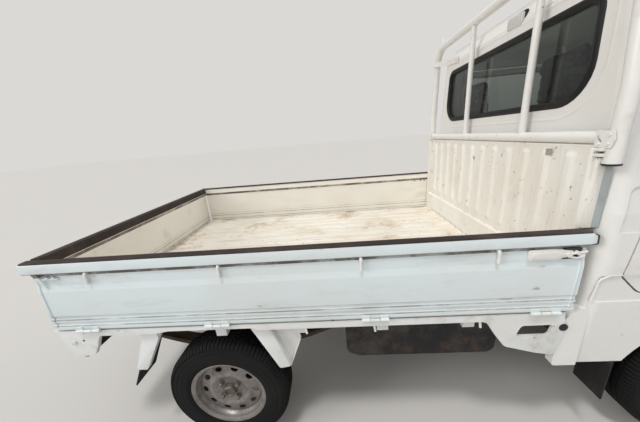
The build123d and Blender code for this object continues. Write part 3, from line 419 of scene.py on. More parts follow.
dressed = {name: material for material, names in DRESS for name in names.split()}
for name, material in dressed.items():
    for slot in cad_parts[name].material_slots:
        slot.material = material
print("dressed", len(dressed), "left plain", sorted(set(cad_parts) - set(dressed)))

# %% [markdown]
# Everything that Blender adds is drawn in millimetres, as in a workshop, and scaled
# once at the end. A few helpers are enough: corners become arcs, rings are lofted, a
# section is carried along a path, an outline becomes a plate, and a profile is turned
# about an axis. Where a helper takes a side, the shape is drawn for the left side, and
# -1 mirrors it to the right.

# %% Helpers for shapes
def rounded(corners, radius, steps=5, closed=True):
    """The corners of a path, each replaced by a short arc, in two or three dimensions."""
    radii = radius if isinstance(radius, (list, tuple)) else [radius] * len(corners)
    corners = [Vector(corner) for corner in corners]
    points = []
    for i, here in enumerate(corners):
        before = (corners[i - 1] - here).normalized()
        after = (corners[(i + 1) % len(corners)] - here).normalized()
        is_end = not closed and i in (0, len(corners) - 1)
        if radii[i] == 0 or is_end or (before + after).length < 0.01:
            points.append(here)
            continue
        half = before.angle(after) / 2
        middle = here + (before + after).normalized() * (radii[i] / math.sin(half))
        start = (here + before * (radii[i] / math.tan(half)) - middle).normalized()
        end = (here + after * (radii[i] / math.tan(half)) - middle).normalized()
        points += [middle + start.slerp(end, k / steps) * radii[i] for k in range(steps + 1)]
    return points


def fold(rows, steps=5):
    """Rows of two coordinates and a corner radius as a rounded outline."""
    return rounded([row[:2] for row in rows], [row[2] for row in rows], steps)


def oblong(left, right, low, high):
    """The four corners of an upright rectangle."""
    return [(left, low), (right, low), (right, high), (left, high)]


def shrunk(outline, scale):
    """A flat outline scaled about its middle."""
    points = [Vector(point) for point in outline]
    middle = sum(points, Vector((0, 0))) / len(points)
    return [middle + (point - middle) * scale for point in points]


def circle(radius, sides=12, squash=1.0):
    """A round or oval section."""
    turns = [2 * math.pi * k / sides for k in range(sides)]
    return [(radius * math.cos(a), radius * squash * math.sin(a)) for a in turns]


def loft(shape, rings, closed=False, caps=(0, -1)):
    """Rings of points joined by quads into a tube; gives the last cap, if it has caps."""
    rings = [[shape.verts.new(point) for point in ring] for ring in rings]
    for first, second in zip(rings, rings[1:] + (rings[:1] if closed else [])):
        for k in range(len(first)):
            n = (k + 1) % len(first)
            shape.faces.new((first[k], first[n], second[n], second[k]))
    return None if closed else [shape.faces.new(rings[end]) for end in caps][-1]


def sweep(shape, path, section, closed=False, up=None):
    """Carries a section along a path. With up, the section's second axis leans that way."""
    path = [Vector(point) for point in path]
    rings = []
    side = None
    for i, point in enumerate(path):
        ahead = path[(i + 1) % len(path)] if closed or i < len(path) - 1 else point
        behind = path[i - 1] if closed or i > 0 else point
        along = (ahead - behind).normalized()
        if up is not None:
            side = along.cross(Vector(up)).normalized()
        elif side is None:
            side = along.orthogonal().normalized()
        side = (side - along * side.dot(along)).normalized()
        lift = side.cross(along)
        rings.append([point + side * u + lift * v for u, v in section])
    loft(shape, rings, closed)


def bar(shape, start, end, radius, sides=12, side=1):
    """A straight round bar, or a bolt head if it has six sides."""
    sweep(shape, [(x, side * y, z) for x, y, z in (start, end)], circle(radius, sides))


def soften(shape, edges, width, segments=2, profile=0.6):
    """Bevels edges."""
    bmesh.ops.bevel(shape, geom=list(edges), offset=width, segments=segments, affect="EDGES", profile=profile)


def plate(shape, outline, origin, u, v, depth, bevel=0.0):
    """An outline in the plane of u and v, thickened along their cross product."""
    origin, u, v = Vector(origin), Vector(u), Vector(v)
    near = [origin + u * p[0] + v * p[1] for p in outline]
    cap = loft(shape, [near, [corner + u.cross(v).normalized() * depth for corner in near]])
    if bevel:
        soften(shape, cap.edges, bevel)
    return shape


def on_side(shape, outline, side, y_low, y_high, bevel=0.0):
    """An outline of x and z as a plate between two distances from the middle plane."""
    flipped = [(side * -p[0], p[1]) for p in outline]
    return plate(shape, flipped, (0, side * y_low, 0), (-side, 0, 0), (0, 0, 1), y_high - y_low, bevel)


def block(shape, x, y, z, bevel=1.5, side=1):
    """A box between two places on each axis, with soft edges."""
    low, high = (Vector(corner) for corner in zip(x, sorted((side * y[0], side * y[1])), z))
    size = high - low
    corners = bmesh.ops.create_cube(shape, size=1.0)["verts"]
    for corner in corners:
        corner.co = low + Vector(((corner.co[i] + 0.5) * size[i] for i in range(3)))
    soften(shape, {edge for corner in corners for edge in corner.link_edges}, bevel)


def turned(shape, profile, centre, axis="Y", steps=64, side=1):
    """A profile of (distance along the axis, radius) turned about that axis; AXIS closes it."""
    along = Vector([float(axis == letter) for letter in "XYZ"])
    first = along.orthogonal().normalized()
    second = along.cross(first)
    centre = Vector((centre[0], side * centre[1], centre[2]))
    rings = []
    for k in range(steps):
        angle = 2 * math.pi * k / steps
        out = first * math.cos(angle) + second * math.sin(angle)
        rings.append([centre + along * (side * a) + out * r for a, r in profile])
    loft(shape, rings, closed=True)
    return shape


def face_outwards(shape):
    """Turns each separate part of a shape so that it encloses a positive volume."""
    bmesh.ops.recalc_face_normals(shape, faces=shape.faces)
    left = set(shape.faces)
    while left:
        part, border = [], [left.pop()]
        while border:
            face = border.pop()
            part.append(face)
            near = {other for edge in face.edges for other in edge.link_faces if other in left}
            left -= near
            border += near
        if sum(face.calc_center_median().dot(face.normal) * face.calc_area() for face in part) < 0:
            bmesh.ops.reverse_faces(shape, faces=part)


def as_mesh(shape, name="part"):
    """The shape as a mesh. The shape is used up."""
    mesh = bpy.data.meshes.new(name)
    shape.to_mesh(mesh)
    shape.free()
    return mesh


def as_shape(mesh):
    """The mesh as a shape. The mesh is used up."""
    shape = bmesh.new()
    shape.from_mesh(mesh)
    bpy.data.meshes.remove(mesh)
    return shape


def evaluated(thing):
    """The mesh that an object's modifiers make."""
    graph = bpy.context.evaluated_depsgraph_get()
    return bpy.data.meshes.new_from_object(thing.evaluated_get(graph))


def add_object(name, mesh, material, body, sharp, node):
    """A finished mesh, in metres, as a piece that rides on a body and may replace a node."""
    mesh.name = name
    if not mesh.materials:
        mesh.materials.append(material)
    mesh.shade_smooth()
    mesh.set_sharp_from_angle(angle=math.radians(sharp))
    piece = linked(name, mesh)
    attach(piece, body)
    if node:
        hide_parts(node)
    return piece


def add_piece(name, shape, material, body="chassis", sharp=35, node=None):
    """A shape in millimetres as a piece."""
    face_outwards(shape)
    bmesh.ops.scale(shape, vec=(MM, MM, MM), verts=shape.verts)
    return add_object(name, as_mesh(shape), material, body, sharp, node)


SIDES = ((1, "left"), (-1, "right"))
HALF_WIDTH = 737.5
REAR_END = -1697.5
GATE_TOP = 945
BED_FRONT = 316
# A radius so small that a turned profile looks closed on its axis
AXIS = 0.01
print("shape helpers ready")

# %% [markdown]
# Lugs, holes and wheel nuts repeat round a wheel. Geometry Nodes place the copies: each
# point of a line takes an instance turned about the axis, and Realize Instances makes
# them real, because an export drops instances.

# %% Geometry Nodes: copies round an axis
RING = bpy.data.node_groups.new("copies round an axis", "GeometryNodeTree")
for name, kind in (("Template", "Object"), ("Count", "Int"), ("Start Turn", "Float"), ("Finish", "Material")):
    RING.interface.new_socket(name, in_out="INPUT", socket_type=f"NodeSocket{kind}")
RING.interface.new_socket("Geometry", in_out="OUTPUT", socket_type="NodeSocketGeometry")
ring = {name: RING.nodes.new(kind) for name, kind in {
    "given": "NodeGroupInput", "result": "NodeGroupOutput", "line": "GeometryNodeMeshLine",
    "copies": "GeometryNodeInstanceOnPoints", "model": "GeometryNodeObjectInfo",
    "index": "GeometryNodeInputIndex", "step": "ShaderNodeMath", "turn": "ShaderNodeMath",
    "start": "ShaderNodeMath", "spin": "ShaderNodeCombineXYZ", "real": "GeometryNodeRealizeInstances",
    "paint": "GeometryNodeSetMaterial"}.items()}
for name, operation in (("step", "DIVIDE"), ("turn", "MULTIPLY"), ("start", "ADD")):
    ring[name].operation = operation
ring["line"].inputs["Offset"].default_value = (0, 0, 0)
ring["step"].inputs[0].default_value = 2 * math.pi
wired(RING, ring, (
    ("given", "Count", "line", "Count"), ("given", "Count", "step", 1), ("step", 0, "turn", 0),
    ("index", 0, "turn", 1), ("turn", 0, "start", 0), ("given", "Start Turn", "start", 1),
    ("start", 0, "spin", "Z"), ("given", "Template", "model", "Object"), ("line", "Mesh", "copies", "Points"),
    ("model", "Geometry", "copies", "Instance"), ("spin", 0, "copies", "Rotation"), ("copies", 0, "real", 0),
    ("real", 0, "paint", "Geometry"), ("given", "Finish", "paint", "Material"), ("paint", 0, "result", 0)))


def copies_round(template, count, material, start=0.0):
    """The template, a shape in millimetres about Z, copied round Z and given as a new shape."""
    bmesh.ops.recalc_face_normals(template, faces=template.faces)
    model = linked("template", as_mesh(template))
    holder = linked("copies", bpy.data.meshes.new("copies"))
    modifier = holder.modifiers.new("copies", "NODES")
    modifier.node_group = RING
    names = {item.name: item.identifier for item in RING.interface.items_tree if item.in_out == "INPUT"}
    for key, value in (("Template", model), ("Count", count), ("Start Turn", start), ("Finish", material)):
        modifier[names[key]] = value
    made = evaluated(holder)
    for thing in (model, holder):
        bpy.data.objects.remove(thing)
    return as_shape(made)


def join_shapes(target, source):
    """Adds one shape to another."""
    mesh = as_mesh(source)
    target.from_mesh(mesh)
    bpy.data.meshes.remove(mesh)
    return target


def cut_out(shape, cutter):
    """Takes the cutter out of the shape with a Boolean, both in millimetres."""
    things = []
    for part in (shape, cutter):
        bmesh.ops.recalc_face_normals(part, faces=part.faces)
        things.append(linked("part", as_mesh(part)))
    cut = things[0].modifiers.new("cut", "BOOLEAN")
    cut.object = things[1]
    cut.solver = "EXACT"
    made = evaluated(things[0])
    for thing in things:
        bpy.data.objects.remove(thing)
    return as_shape(made)


print("ring tree:", len(RING.nodes), "nodes")

# %% [markdown]
# A light truck tyre has two rows of skewed blocks in the middle and a row of lugs that
# wraps over each shoulder. The carcass is one turned profile, 6 mm smaller than the
# lugs, with a raised ring that guards the rim. The sidewall stays bare of letters.

# %% Tyres
TYRE_HALF = [
    (-56, 153), (-60, 160), (-66, 170), (-69.5, 180), (-71.5, 187), (-71.5, 191), (-70.5, 195), (-72, 208),
    (-72, 220), (-71, 221.5), (-71, 224), (-71.6, 225.5), (-70, 238), (-66, 247), (-58, 254.5), (-42, 259),
    (-20, 260.5), (-17, 260.5),
]
LUG_SECTION = [
    (266.8, 25), (266.4, 44), (263.5, 55), (257, 64), (249, 69.4), (246, 66), (253, 56), (256, 40), (256, 25)]
LUGS = 96
TREAD_FLOOR = 257
TREAD_TOP = 266.6
WHEELS = [
    ("front_left", 870, 1), ("front_right", 870, -1), ("rear_left", -1030, 1), ("rear_right", -1030, -1)]
WHEEL_Y = 650
WHEEL_Z = 267


def tread_block(low, high, skew, half_turn):
    """One skewed block between two distances across the tread."""
    short, long = half_turn - skew, half_turn + skew
    outline = [(-low, -long), (-low, short), (-high, long), (-high, -short)]
    return plate(
        bmesh.new(), outline, (TREAD_FLOOR, 0, 0), (0, 0, -1), (0, 1, 0), TREAD_TOP - TREAD_FLOOR, 0.8)


def shoulder_lug(side):
    """A lug whose section follows the shoulder down to the sidewall."""
    outline = [(radius, side * across) for radius, across in LUG_SECTION]
    return plate(bmesh.new(), outline, (0, -6.9, 0), (1, 0, 0), (0, 0, 1), -13.8, 0.7)


def on_wheel(shape, x, side):
    """A copy of a shape made about Z, outwards up, turned onto a wheel's axle."""
    outwards = Matrix.Rotation(math.radians(-90 * side), 4, "X")
    spot = Matrix.Translation((x, side * WHEEL_Y, WHEEL_Z))
    copy = shape.copy()
    bmesh.ops.transform(copy, matrix=spot @ outwards, verts=copy.verts)
    return copy


tyre_profile = TYRE_HALF + [(-across, radius) for across, radius in reversed(TYRE_HALF)]
one_tyre = turned(bmesh.new(), tyre_profile, (0, 0, 0), "Z", 96)
for make, sizes, start in (
        (tread_block, (3, 21, 4, 7), 0.0), (tread_block, (-21, -3, 4, 7), 0.04),
        (shoulder_lug, (1,), 0.02), (shoulder_lug, (-1,), 0.055)):
    join_shapes(one_tyre, copies_round(make(*sizes), LUGS, tyre_rubber, start))
for word, x, side in WHEELS:
    add_piece(f"tread_{word}", on_wheel(one_tyre, x, side), tyre_rubber, f"wheel_{word}", node=f"tyre_{word}")
print("tyre triangles:", sum(len(face.verts) - 2 for face in one_tyre.faces))

# %% [markdown]
# The wheel is a pressed steel disc in a rolled rim: a bright lip, a deep well, ten oval
# holes, a raised ring, and a dished centre with four nuts. The disc is turned, and a
# Boolean takes the holes out of it.

# %% Rims
RIM_PROFILE = [
    (58, 150), (61, 156), (63, 163), (65.5, 166), (66.5, 164), (65.5, 159), (63, 153), (59, 148.5), (50, 147),
    (44, 145), (36, 140), (30, 138.5), (-50, 138.5), (-58, 149), (-63, 158), (-65, 165), (-67, 165),
    (-66, 157), (-60, 150), (-50, 149), (20, 145), (40, 149),
]
DISC_PROFILE = [
    (31, 139.5), (33.5, 136), (35, 128), (37, 118), (38.5, 106), (42, 97), (47, 90), (49, 84), (48, 78),
    (43.5, 72), (39.5, 67), (38, 60), (38, 34), (34, 33), (34, 60), (35.5, 69), (39, 75), (43.5, 81),
    (42.5, 88), (38, 95), (34.5, 104), (33, 118), (31, 128), (28, 136), (27, 139.5),
]
CAP_PROFILE = [(30, AXIS), (30, 33), (40, 33), (41.5, 29), (54, 28), (58, 25), (58, 20), (52, 18), (50, AXIS)]
NUT_ROWS = [(38, 13.5), (41, 13.5), (42, 10.5), (52, 10.5), (55, 8.5), (58, 5.5), (60, AXIS)]
HAND_HOLES = 10
NUTS = 4
NUT_RADIUS = 50

hole = plate(bmesh.new(), circle(16.5, 18, 0.76), (116, 0, 60), (0, 1, 0), (1, 0, 0), 60)
disc = turned(bmesh.new(), DISC_PROFILE, (0, 0, 0), "Z", 80)
disc = cut_out(disc, copies_round(hole, HAND_HOLES, rim_silver))
one_rim = join_shapes(turned(bmesh.new(), RIM_PROFILE, (0, 0, 0), "Z", 96), disc)
nut = bmesh.new()
rings = [[(NUT_RADIUS + u, v, height) for u, v in circle(radius, 6)] for height, radius in NUT_ROWS]
loft(nut, rings, caps=(0,))
grease_cap = turned(bmesh.new(), CAP_PROFILE, (0, 0, 0), "Z", 32)
one_set = join_shapes(copies_round(nut, NUTS, hub_steel, math.radians(40)), grease_cap)
for word, x, side in WHEELS:
    body = f"wheel_{word}"
    add_piece(f"wheel_disc_{word}", on_wheel(one_rim, x, side), rim_silver, body, node=f"rim_{word}")
    add_piece(f"wheel_nuts_{word}", on_wheel(one_set, x, side), hub_steel, body)
print("rim triangles:", sum(len(face.verts) - 2 for face in one_rim.faces))

# %% [markdown]
# The spare lies flat under the bed. It is the same tyre and rim, turned face down, so
# it costs no new modelling.

# %% Spare wheel
face_down = Matrix.Translation((-1345.5, 0, 470)) @ Matrix.Rotation(math.pi, 4, "X")
for shape in (one_tyre, one_rim):
    bmesh.ops.transform(shape, matrix=face_down, verts=shape.verts)
add_piece("spare_tyre", one_tyre, tyre_rubber, node="spare_wheel")
add_piece("spare_rim", one_rim, rim_silver)
print("spare wheel made")

# %% [markdown]
# A strip of dark rubber covers the top of each gate, so that a load that is dragged over
# it doesn't scratch. On the sides it caps the rail. On the tail gate it also laps down
# the inner face. It is one section carried along the gate.

# %% Rail strips
def strip(name, start, end, inward, lap, body):
    """A capping section carried along a gate's top; inward points into the bed."""
    start, end, inward = Vector((*start, GATE_TOP)), Vector((*end, GATE_TOP)), Vector(inward)
    along = (end - start).normalized()
    section = [
        (2.5, 0), (2.5, 3), (5, 5), (10, 5.8), (30, 5.8), (36, 5), (39.5, 2.5), (39.5, -lap), (38, -lap),
        (38, 0)]
    spots = (start, start + along * 3, end - along * 3, end)
    shape = bmesh.new()
    loft(shape, [[spot + inward * u + Vector((0, 0, v)) for u, v in section] for spot in spots])
    add_piece(name, shape, strip_rubber, body)


for side, word in SIDES:
    y = side * HALF_WIDTH
    strip(f"rail_strip_{word}", (REAR_END + 6, y), (BED_FRONT - 16, y), (0, -side, 0), 2, f"side_gate_{word}")
strip("rail_strip_tail", (REAR_END, -690), (REAR_END, 690), (1, 0, 0), 34, "tail_gate")
print("rail strips made")

# %% [markdown]
# Rope hooks are bent 12 mm rods welded under the rail. Each is the same path with
# rounded bends, so a short table of places is all that differs.

# %% Rope hooks and sill pins
HOOK_X = [-1446, -940, -434, 21]
TAIL_HOOK_Y = [-520, -180, 180, 520]
PIN_X = [-1262, -655, -392, -5]
HOOK_Z = 900


def hook(shape, outwards, x, y):
    """A rod from the panel straight out, then down."""
    out, spot = Vector(outwards), Vector((x, y, HOOK_Z))
    sweep(shape, rounded([spot - out * 12, spot, spot + Vector((0, 0, -44))], 9, closed=False), circle(6))


for side, word in SIDES:
    hooks = bmesh.new()
    for x in HOOK_X:
        hook(hooks, (0, side, 0), x, side * (HALF_WIDTH - 1))
    add_piece(f"rope_hooks_{word}", hooks, guard_paint, f"side_gate_{word}", 60)
    pins = bmesh.new()
    for x in PIN_X:
        y = side * (HALF_WIDTH - 16)
        sweep(pins, [(x, y, 622), (x, y, 612), (x + 4, y, 584)], circle(4.5, 10))
    add_piece(f"sill_pins_{word}", pins, sill_paint, sharp=60)
tail_hooks = bmesh.new()
for y in TAIL_HOOK_Y:
    hook(tail_hooks, (-1, 0, 0), REAR_END + 6, y)
add_piece("rope_hooks_tail", tail_hooks, gate_paint, "tail_gate", 60)
print("hooks and pins made")

# %% [markdown]
# A gate is held shut by an over-centre latch at its front end: a long flat lever, a
# black plate behind it that is painted shade for the dark gaps round the works, and the
# pins and links between them. A smaller latch sits at the rear end. All of it rides with
# the gate.

# %% Gate latches
LEVER_Z = 876
LEVER_ROWS = [(116, -17), (200, -17), (218, -10), (252, -10), (252, 12), (200, 18), (116, 18)]
LEVER_RADII = [7, 8, 8, 5, 5, 8, 7]
LEVER_MIDDLE = 150
FACE_Y = HALF_WIDTH - 4
STUD = [(0, AXIS), (0, 4.5), (-1.2, 4), (-1.2, AXIS)]
for side, word in SIDES:
    gate = f"side_gate_{word}"
    lever = bmesh.new()
    for grow, start, deep, bevel in ((0, -5, 11, 2.5), (-7, 5, 3, 2)):
        wide = [
            (x - grow if x < LEVER_MIDDLE else x + grow, z - grow if z < 0 else z + grow)
            for x, z in LEVER_ROWS]
        outline = [(side * -p[0], p[1]) for p in rounded(wide, LEVER_RADII, 4)]
        plate(lever, outline, (0, side * (FACE_Y + start), LEVER_Z), (-side, 0, 0), (0, 0, 1), deep, bevel)
    add_piece(f"latch_lever_{word}", lever, guard_paint, gate)
    # A black plate behind the works is painted shade for the dark gaps round them; the studs share its black
    shade_plate = bmesh.new()
    block(shade_plate, (226, 280), (FACE_Y - 8, FACE_Y + 1), (LEVER_Z - 18, LEVER_Z + 20), 1.5, side)
    for x in (174, 224, 253):
        turned(shade_plate, STUD, (x, HALF_WIDTH - 30, 884), "Y", 16, side)
    add_piece(f"latch_backing_{word}", shade_plate, chassis_black, gate)
    works = bmesh.new()
    for x, z, radius, long in ((236, 0, 7.5, 11), (262, 6, 6, 12), (274, -4, 5, 10)):
        bar(works, (x, FACE_Y - 4, LEVER_Z + z), (x, FACE_Y + long, LEVER_Z + z), radius, 14, side)
    bar(works, (240, FACE_Y + 6, LEVER_Z + 2), (292, FACE_Y + 6, LEVER_Z + 8), 4, 8, side)
    y = side * (FACE_Y + 8)
    sweep(works, [(236, y, LEVER_Z - 7), (262, y, LEVER_Z - 12), (284, y, LEVER_Z - 6)], circle(3, 8))
    add_piece(f"latch_works_{word}", works, guard_paint, gate)
    rear = bmesh.new()
    for x, radius in ((-1604, 7), (-1578, 6)):
        bar(rear, (x, FACE_Y - 9, 888), (x, FACE_Y + 2, 888), radius, 6, side)
    for outline in ([(-1662, 905), (-1640, 905), (-1616, 846), (-1624, 843)], oblong(-1626, -1560, 880, 884)):
        on_side(rear, outline, side, HALF_WIDTH - 14, HALF_WIDTH - 2, 1)
    add_piece(f"rear_latch_{word}", rear, gate_paint, gate)
print("latches made")

# %% [markdown]
# The gates are the largest thing in view. A gate is a rolled steel panel: a boxed rail
# on top, a soft step below it, a flat field and two beads along the foot. Its section is
# a short table, rounded at the folds, and the panel is drawn with many stations, so that
# a slow noise can dent it by a fraction of a millimetre, as hands and loads do.

# %% Side gates and tail gate
RAIL_ROWS = [(2, 944.6, 4), (0.6, 906, 5), (12, 900, 2), (31, 890, 5), (36.6, 902, 4), (36.6, 944.6, 4)]
PANEL_ROWS = [
    (13, 903, 0), (12.5, 886, 3), (9.5, 880, 3), (9.5, 850, 16), (5, 826, 16), (5, 715, 2), (9, 711, 2),
    (9, 700, 2), (5, 695, 2), (5, 687, 2), (9, 683, 2), (9, 672, 2), (5, 667, 2), (5, 651, 2.5), (30, 651, 2),
    (30, 898, 0),
]
OUTER_ROWS = 14
TIP_ROWS = [(4, 934, 4), (1.6, 908, 5), (12, 902, 2), (31, 893, 5), (35, 904, 4), (35, 934, 4)]
CAP_ROWS = [(1.5, 937, 4), (-0.8, 906, 5), (12, 899, 2), (31, 890, 5), (37, 903, 4), (37, 937, 4)]
HINGE_X = [-1526.9, -994.0, -388.9, 209.1]
HINGE_Z = 645
STATION = 36
# Columns: gate, start, end, hinges, hinge axis behind the face, barrel radius, panel's trim, rail's tip
GATES = [
    ("side_gate_left", REAR_END, BED_FRONT, HINGE_X, 2.2, 6.4, 14, 12),
    ("side_gate_right", REAR_END, BED_FRONT, HINGE_X, 2.2, 6.4, 14, 12),
    ("tail_gate", -693.5, 693.5, [-430, 430], 5.0, 4.9, 0, 0),
]


def on_gate(kind, along, inset, height):
    """A point on a gate: along it, in from its outer face, and up."""
    if kind == "tail_gate":
        return Vector((REAR_END + inset, along, height))
    side = 1 if kind.endswith("left") else -1
    return Vector((along, side * (HALF_WIDTH - inset), height))


def dented(along, inset, height, kind):
    """The inset with a slow dent in the free field of the panel."""
    free = max(0.0, min(1.0, (height - 650) / 60, (900 - height) / 40))
    soft = noise.noise(Vector((along * 0.006, height * 0.011, 3.0 if kind.endswith("left") else 9.0)))
    sharp = noise.noise(Vector((along * 0.021, height * 0.03, 20.0)))
    return inset + free * (0.5 + 0.9 * soft + 0.35 * sharp)


def rolled(shape, kind, rows, start, end, wavy=False):
    """A rolled section between two places along a gate."""
    section = fold(rows, 3)
    count = max(2, int((end - start) / STATION))
    rings = []
    for k in range(count + 1):
        along = start + (end - start) * k / count
        ring = []
        for inset, height in section:
            deep = dented(along, inset, height, kind) if wavy and 4 < inset < 14 else inset
            ring.append(on_gate(kind, along, deep, height))
        rings.append(ring)
    loft(shape, rings)


for kind, start, end, hinges, pin_inset, pin_radius, trim, tip in GATES:
    gate = bmesh.new()
    rolled(gate, kind, RAIL_ROWS, start + 0.5, end - 0.5 - tip)
    rolled(gate, kind, PANEL_ROWS, start + 1 + trim * 2, end - 1 - trim, wavy=True)
    if tip:
        ends = ((end - tip - 0.5, RAIL_ROWS), (end + 3, TIP_ROWS))
        rings = [[on_gate(kind, along, *point) for point in fold(rows, 3)] for along, rows in ends]
        loft(gate, rings, caps=(-1,))
        cap = bmesh.new()
        rolled(cap, kind, CAP_ROWS, end + 2.8, end + 6)
        add_piece(f"{kind}_cap", cap, strip_rubber, kind)
    for along in (start + 30 + trim, end - 16 - trim):
        bead = [row[:2] for row in PANEL_ROWS[:OUTER_ROWS] if 664 <= row[1] <= 881]
        sweep(gate, [on_gate(kind, along, *spot) for spot in bead], circle(3.2, 10))
    for middle in hinges:
        for low, high in ((middle - 50, middle - 18), (middle + 18, middle + 50)):
            barrel = [on_gate(kind, along, pin_inset, HINGE_Z) for along in (low, high)]
            sweep(gate, barrel, circle(pin_radius, 16))
            leaf = oblong(low + 2, high - 2, 646, 663)
            loft(gate, [[on_gate(kind, a, inset, z) for a, z in leaf] for inset in (5.4, 2.6)])
    add_piece(f"{kind}_panel", gate, gate_paint, kind, 40, node=kind)
print("gates:", len(GATES))

# %% [markdown]
# The sill under a side gate is one pressed plate. It drops down in front of the rear
# wheel's arch and behind the cab, and ends in a corner bracket at the back. The slot
# behind the cab has a turned lip, and the black plugs are a small piece of their own.

# %% Side sills
SILL_Y = 727
SILL_ROWS = [
    (-1676, 641, 2), (-1670, 610, 4), (-1646, 500, 6), (-1548, 520, 14), (-1524, 560, 10), (-1500, 612, 16),
    (-1262, 612, 6), (-1205, 622, 8), (-865, 622, 8), (-845, 612, 6), (16, 612, 30), (58, 545, 50),
    (94, 496, 28), (211, 462, 14), (276, 450, 8), (296, 560, 14), (286, 614, 4), (284, 641, 2),
]
SLOT_ROWS = [(120, 539, 14), (244, 539, 16), (256, 591, 12), (140, 590, 18)]
for side, word in SIDES:
    sill = cut_out(on_side(bmesh.new(), fold(SILL_ROWS), side, SILL_Y - 4, SILL_Y, 0.8),
                   on_side(bmesh.new(), fold(SLOT_ROWS, 6), side, SILL_Y - 30, SILL_Y + 10))
    block(sill, (-1687, 284), (690, 726), (636, 641), 1, side)
    lip = [(x, side * (SILL_Y - 4), z) for x, z in fold(SLOT_ROWS, 6)]
    sweep(sill, lip, [(-1.5, -8), (1.5, -8), (1.5, 4.6), (-1.5, 4.6)], closed=True, up=(0, side, 0))
    rim = [(x, side * (SILL_Y - 7), z) for x, z in fold(SILL_ROWS[:-2])][6:-3]
    sweep(sill, rim, [(-1.5, -7), (1.5, -7), (1.5, 4), (-1.5, 4)], up=(0, side, 0))
    for x in HINGE_X:
        bar(sill, (x - 16, 735.3, HINGE_Z), (x + 16, 735.3, HINGE_Z), 6.4, 16, side)
        on_side(sill, rounded(oblong(x - 15, x + 15, 634, 645), 2, 3), side, SILL_Y - 1, SILL_Y + 8)
    turned(sill, [(0, AXIS), (0, 12.15), (1.5, 11.7), (1.6, AXIS)], (-1617, SILL_Y, 584), "Y", 24, side)
    bar(sill, (-1617, SILL_Y, 584), (-1617, SILL_Y + 6, 584), 9, 6, side)
    add_piece(f"sill_{word}", sill, sill_paint, sharp=40, node="bed_sills")
    plug = bmesh.new()
    turned(plug, [(0, AXIS), (0, 15), (3, 14), (5, 9), (5.5, AXIS)], (288, SILL_Y, 576), "Y", 28, side)
    turned(plug, [(0, AXIS), (0, 4.5), (1.2, 3.5), (1.2, AXIS)], (-1574, SILL_Y, 592), "Y", 16, side)
    add_piece(f"sill_plug_{word}", plug, moulded_black)
print("sills made")

# %% [markdown]
# The cab's skin was lofted through six plan sections. The same table gives a place on
# the skin at any height, so that seals, handles and lamps follow the metal.

# %% Seals round the glass
# Columns: z, half width, back x, front x, radius of the front corners
CAB_SECTIONS = [
    (330, 704, 340, 1642, 190), (640, 727, 340, 1655, 190), (820, 737, 340, 1646, 185),
    (1000, 735, 340, 1592, 140), (1715, 652, 352, 1310, 100), (1785, 606, 388, 1225, 90),
]
FRONT_BOW = 22
OUTWARD = {"back": (-1, 0, 0), "front": (0.93, 0, 0.36), 1: (0, 1, 0), -1: (0, -1, 0)}
LONGEST_STEP = 40


def cab_size(z):
    """Half width, back, front and front corner radius of the cab at a height."""
    for low, high in zip(CAB_SECTIONS, CAB_SECTIONS[1:]):
        if z <= high[0]:
            t = (z - low[0]) / (high[0] - low[0])
            return [a + (b - a) * t for a, b in zip(low[1:], high[1:])]
    return CAB_SECTIONS[-1][1:]


def front_x(y, z):
    """The skin's x at the front."""
    half, back, front, radius = cab_size(z)
    flat = half - radius
    if abs(y) < flat:
        return front + FRONT_BOW * (1 - (y / flat) ** 2)
    return front - radius + math.sqrt(max(0, radius ** 2 - (abs(y) - flat) ** 2))


def skin_point(face, u, z, out):
    """A place on the back, the front or a side; u is y on the back and front, x on a side."""
    half, back, front, radius = cab_size(z)
    if face == "back":
        return Vector((back - out, u, z))
    if face == "front":
        return Vector((front_x(u, z) + out, u, z))
    return Vector((u, face * (half + out), z))


def seal_path(face, rows, grow=0.0, out=0.0):
    """The rounded outline of an opening, laid on the skin with short steps."""
    corners = [Vector(row[:2]) for row in rows]
    middle = sum(corners, Vector((0, 0))) / len(corners)
    wide = [
        middle + Vector([(abs(d) + grow) * (1 if d > 0 else -1) for d in corner - middle])
        for corner in corners]
    points = rounded(wide, [row[2] + grow for row in rows], 8)
    path = []
    for here, there in zip(points, points[1:] + points[:1]):
        count = max(1, math.ceil((there - here).length / LONGEST_STEP))
        path += [here.lerp(there, k / count) for k in range(count)]
    turning = sum(a.x * b.y - b.x * a.y for a, b in zip(path, path[1:] + path[:1]))
    if turning * (1 if face in ("back", 1) else -1) < 0:
        path.reverse()
    return [skin_point(face, p[0], p[1], out) for p in path]


SEAL = [
    (-15, -3), (-15, 2), (-11, 5), (-4, 6.5), (-1, 5), (1, 5), (3, 6.5), (8, 4), (12, -2), (12, -14),
    (7, -14), (4, -5)]
SLIM_SEAL = [(-6, -2), (-6, 2), (-3, 3.5), (2, 3), (8, -2), (8, -13), (4, -13), (2, -4)]
SWAGE = [(-9, -1), (-5, 1.6), (0, 2.4), (5, 1.6), (9, -1)]
REAR_OPENING = [(-575, 1330, 130), (575, 1330, 130), (555, 1665, 60), (-555, 1665, 60)]
SCREEN_OPENING = [(-625, 1028, 60), (625, 1028, 60), (560, 1680, 60), (-560, 1680, 60)]
DOOR_OPENING = [(512, 1628, 50), (505, 1024, 40), (1390, 1024, 30), (1142, 1628, 50)]
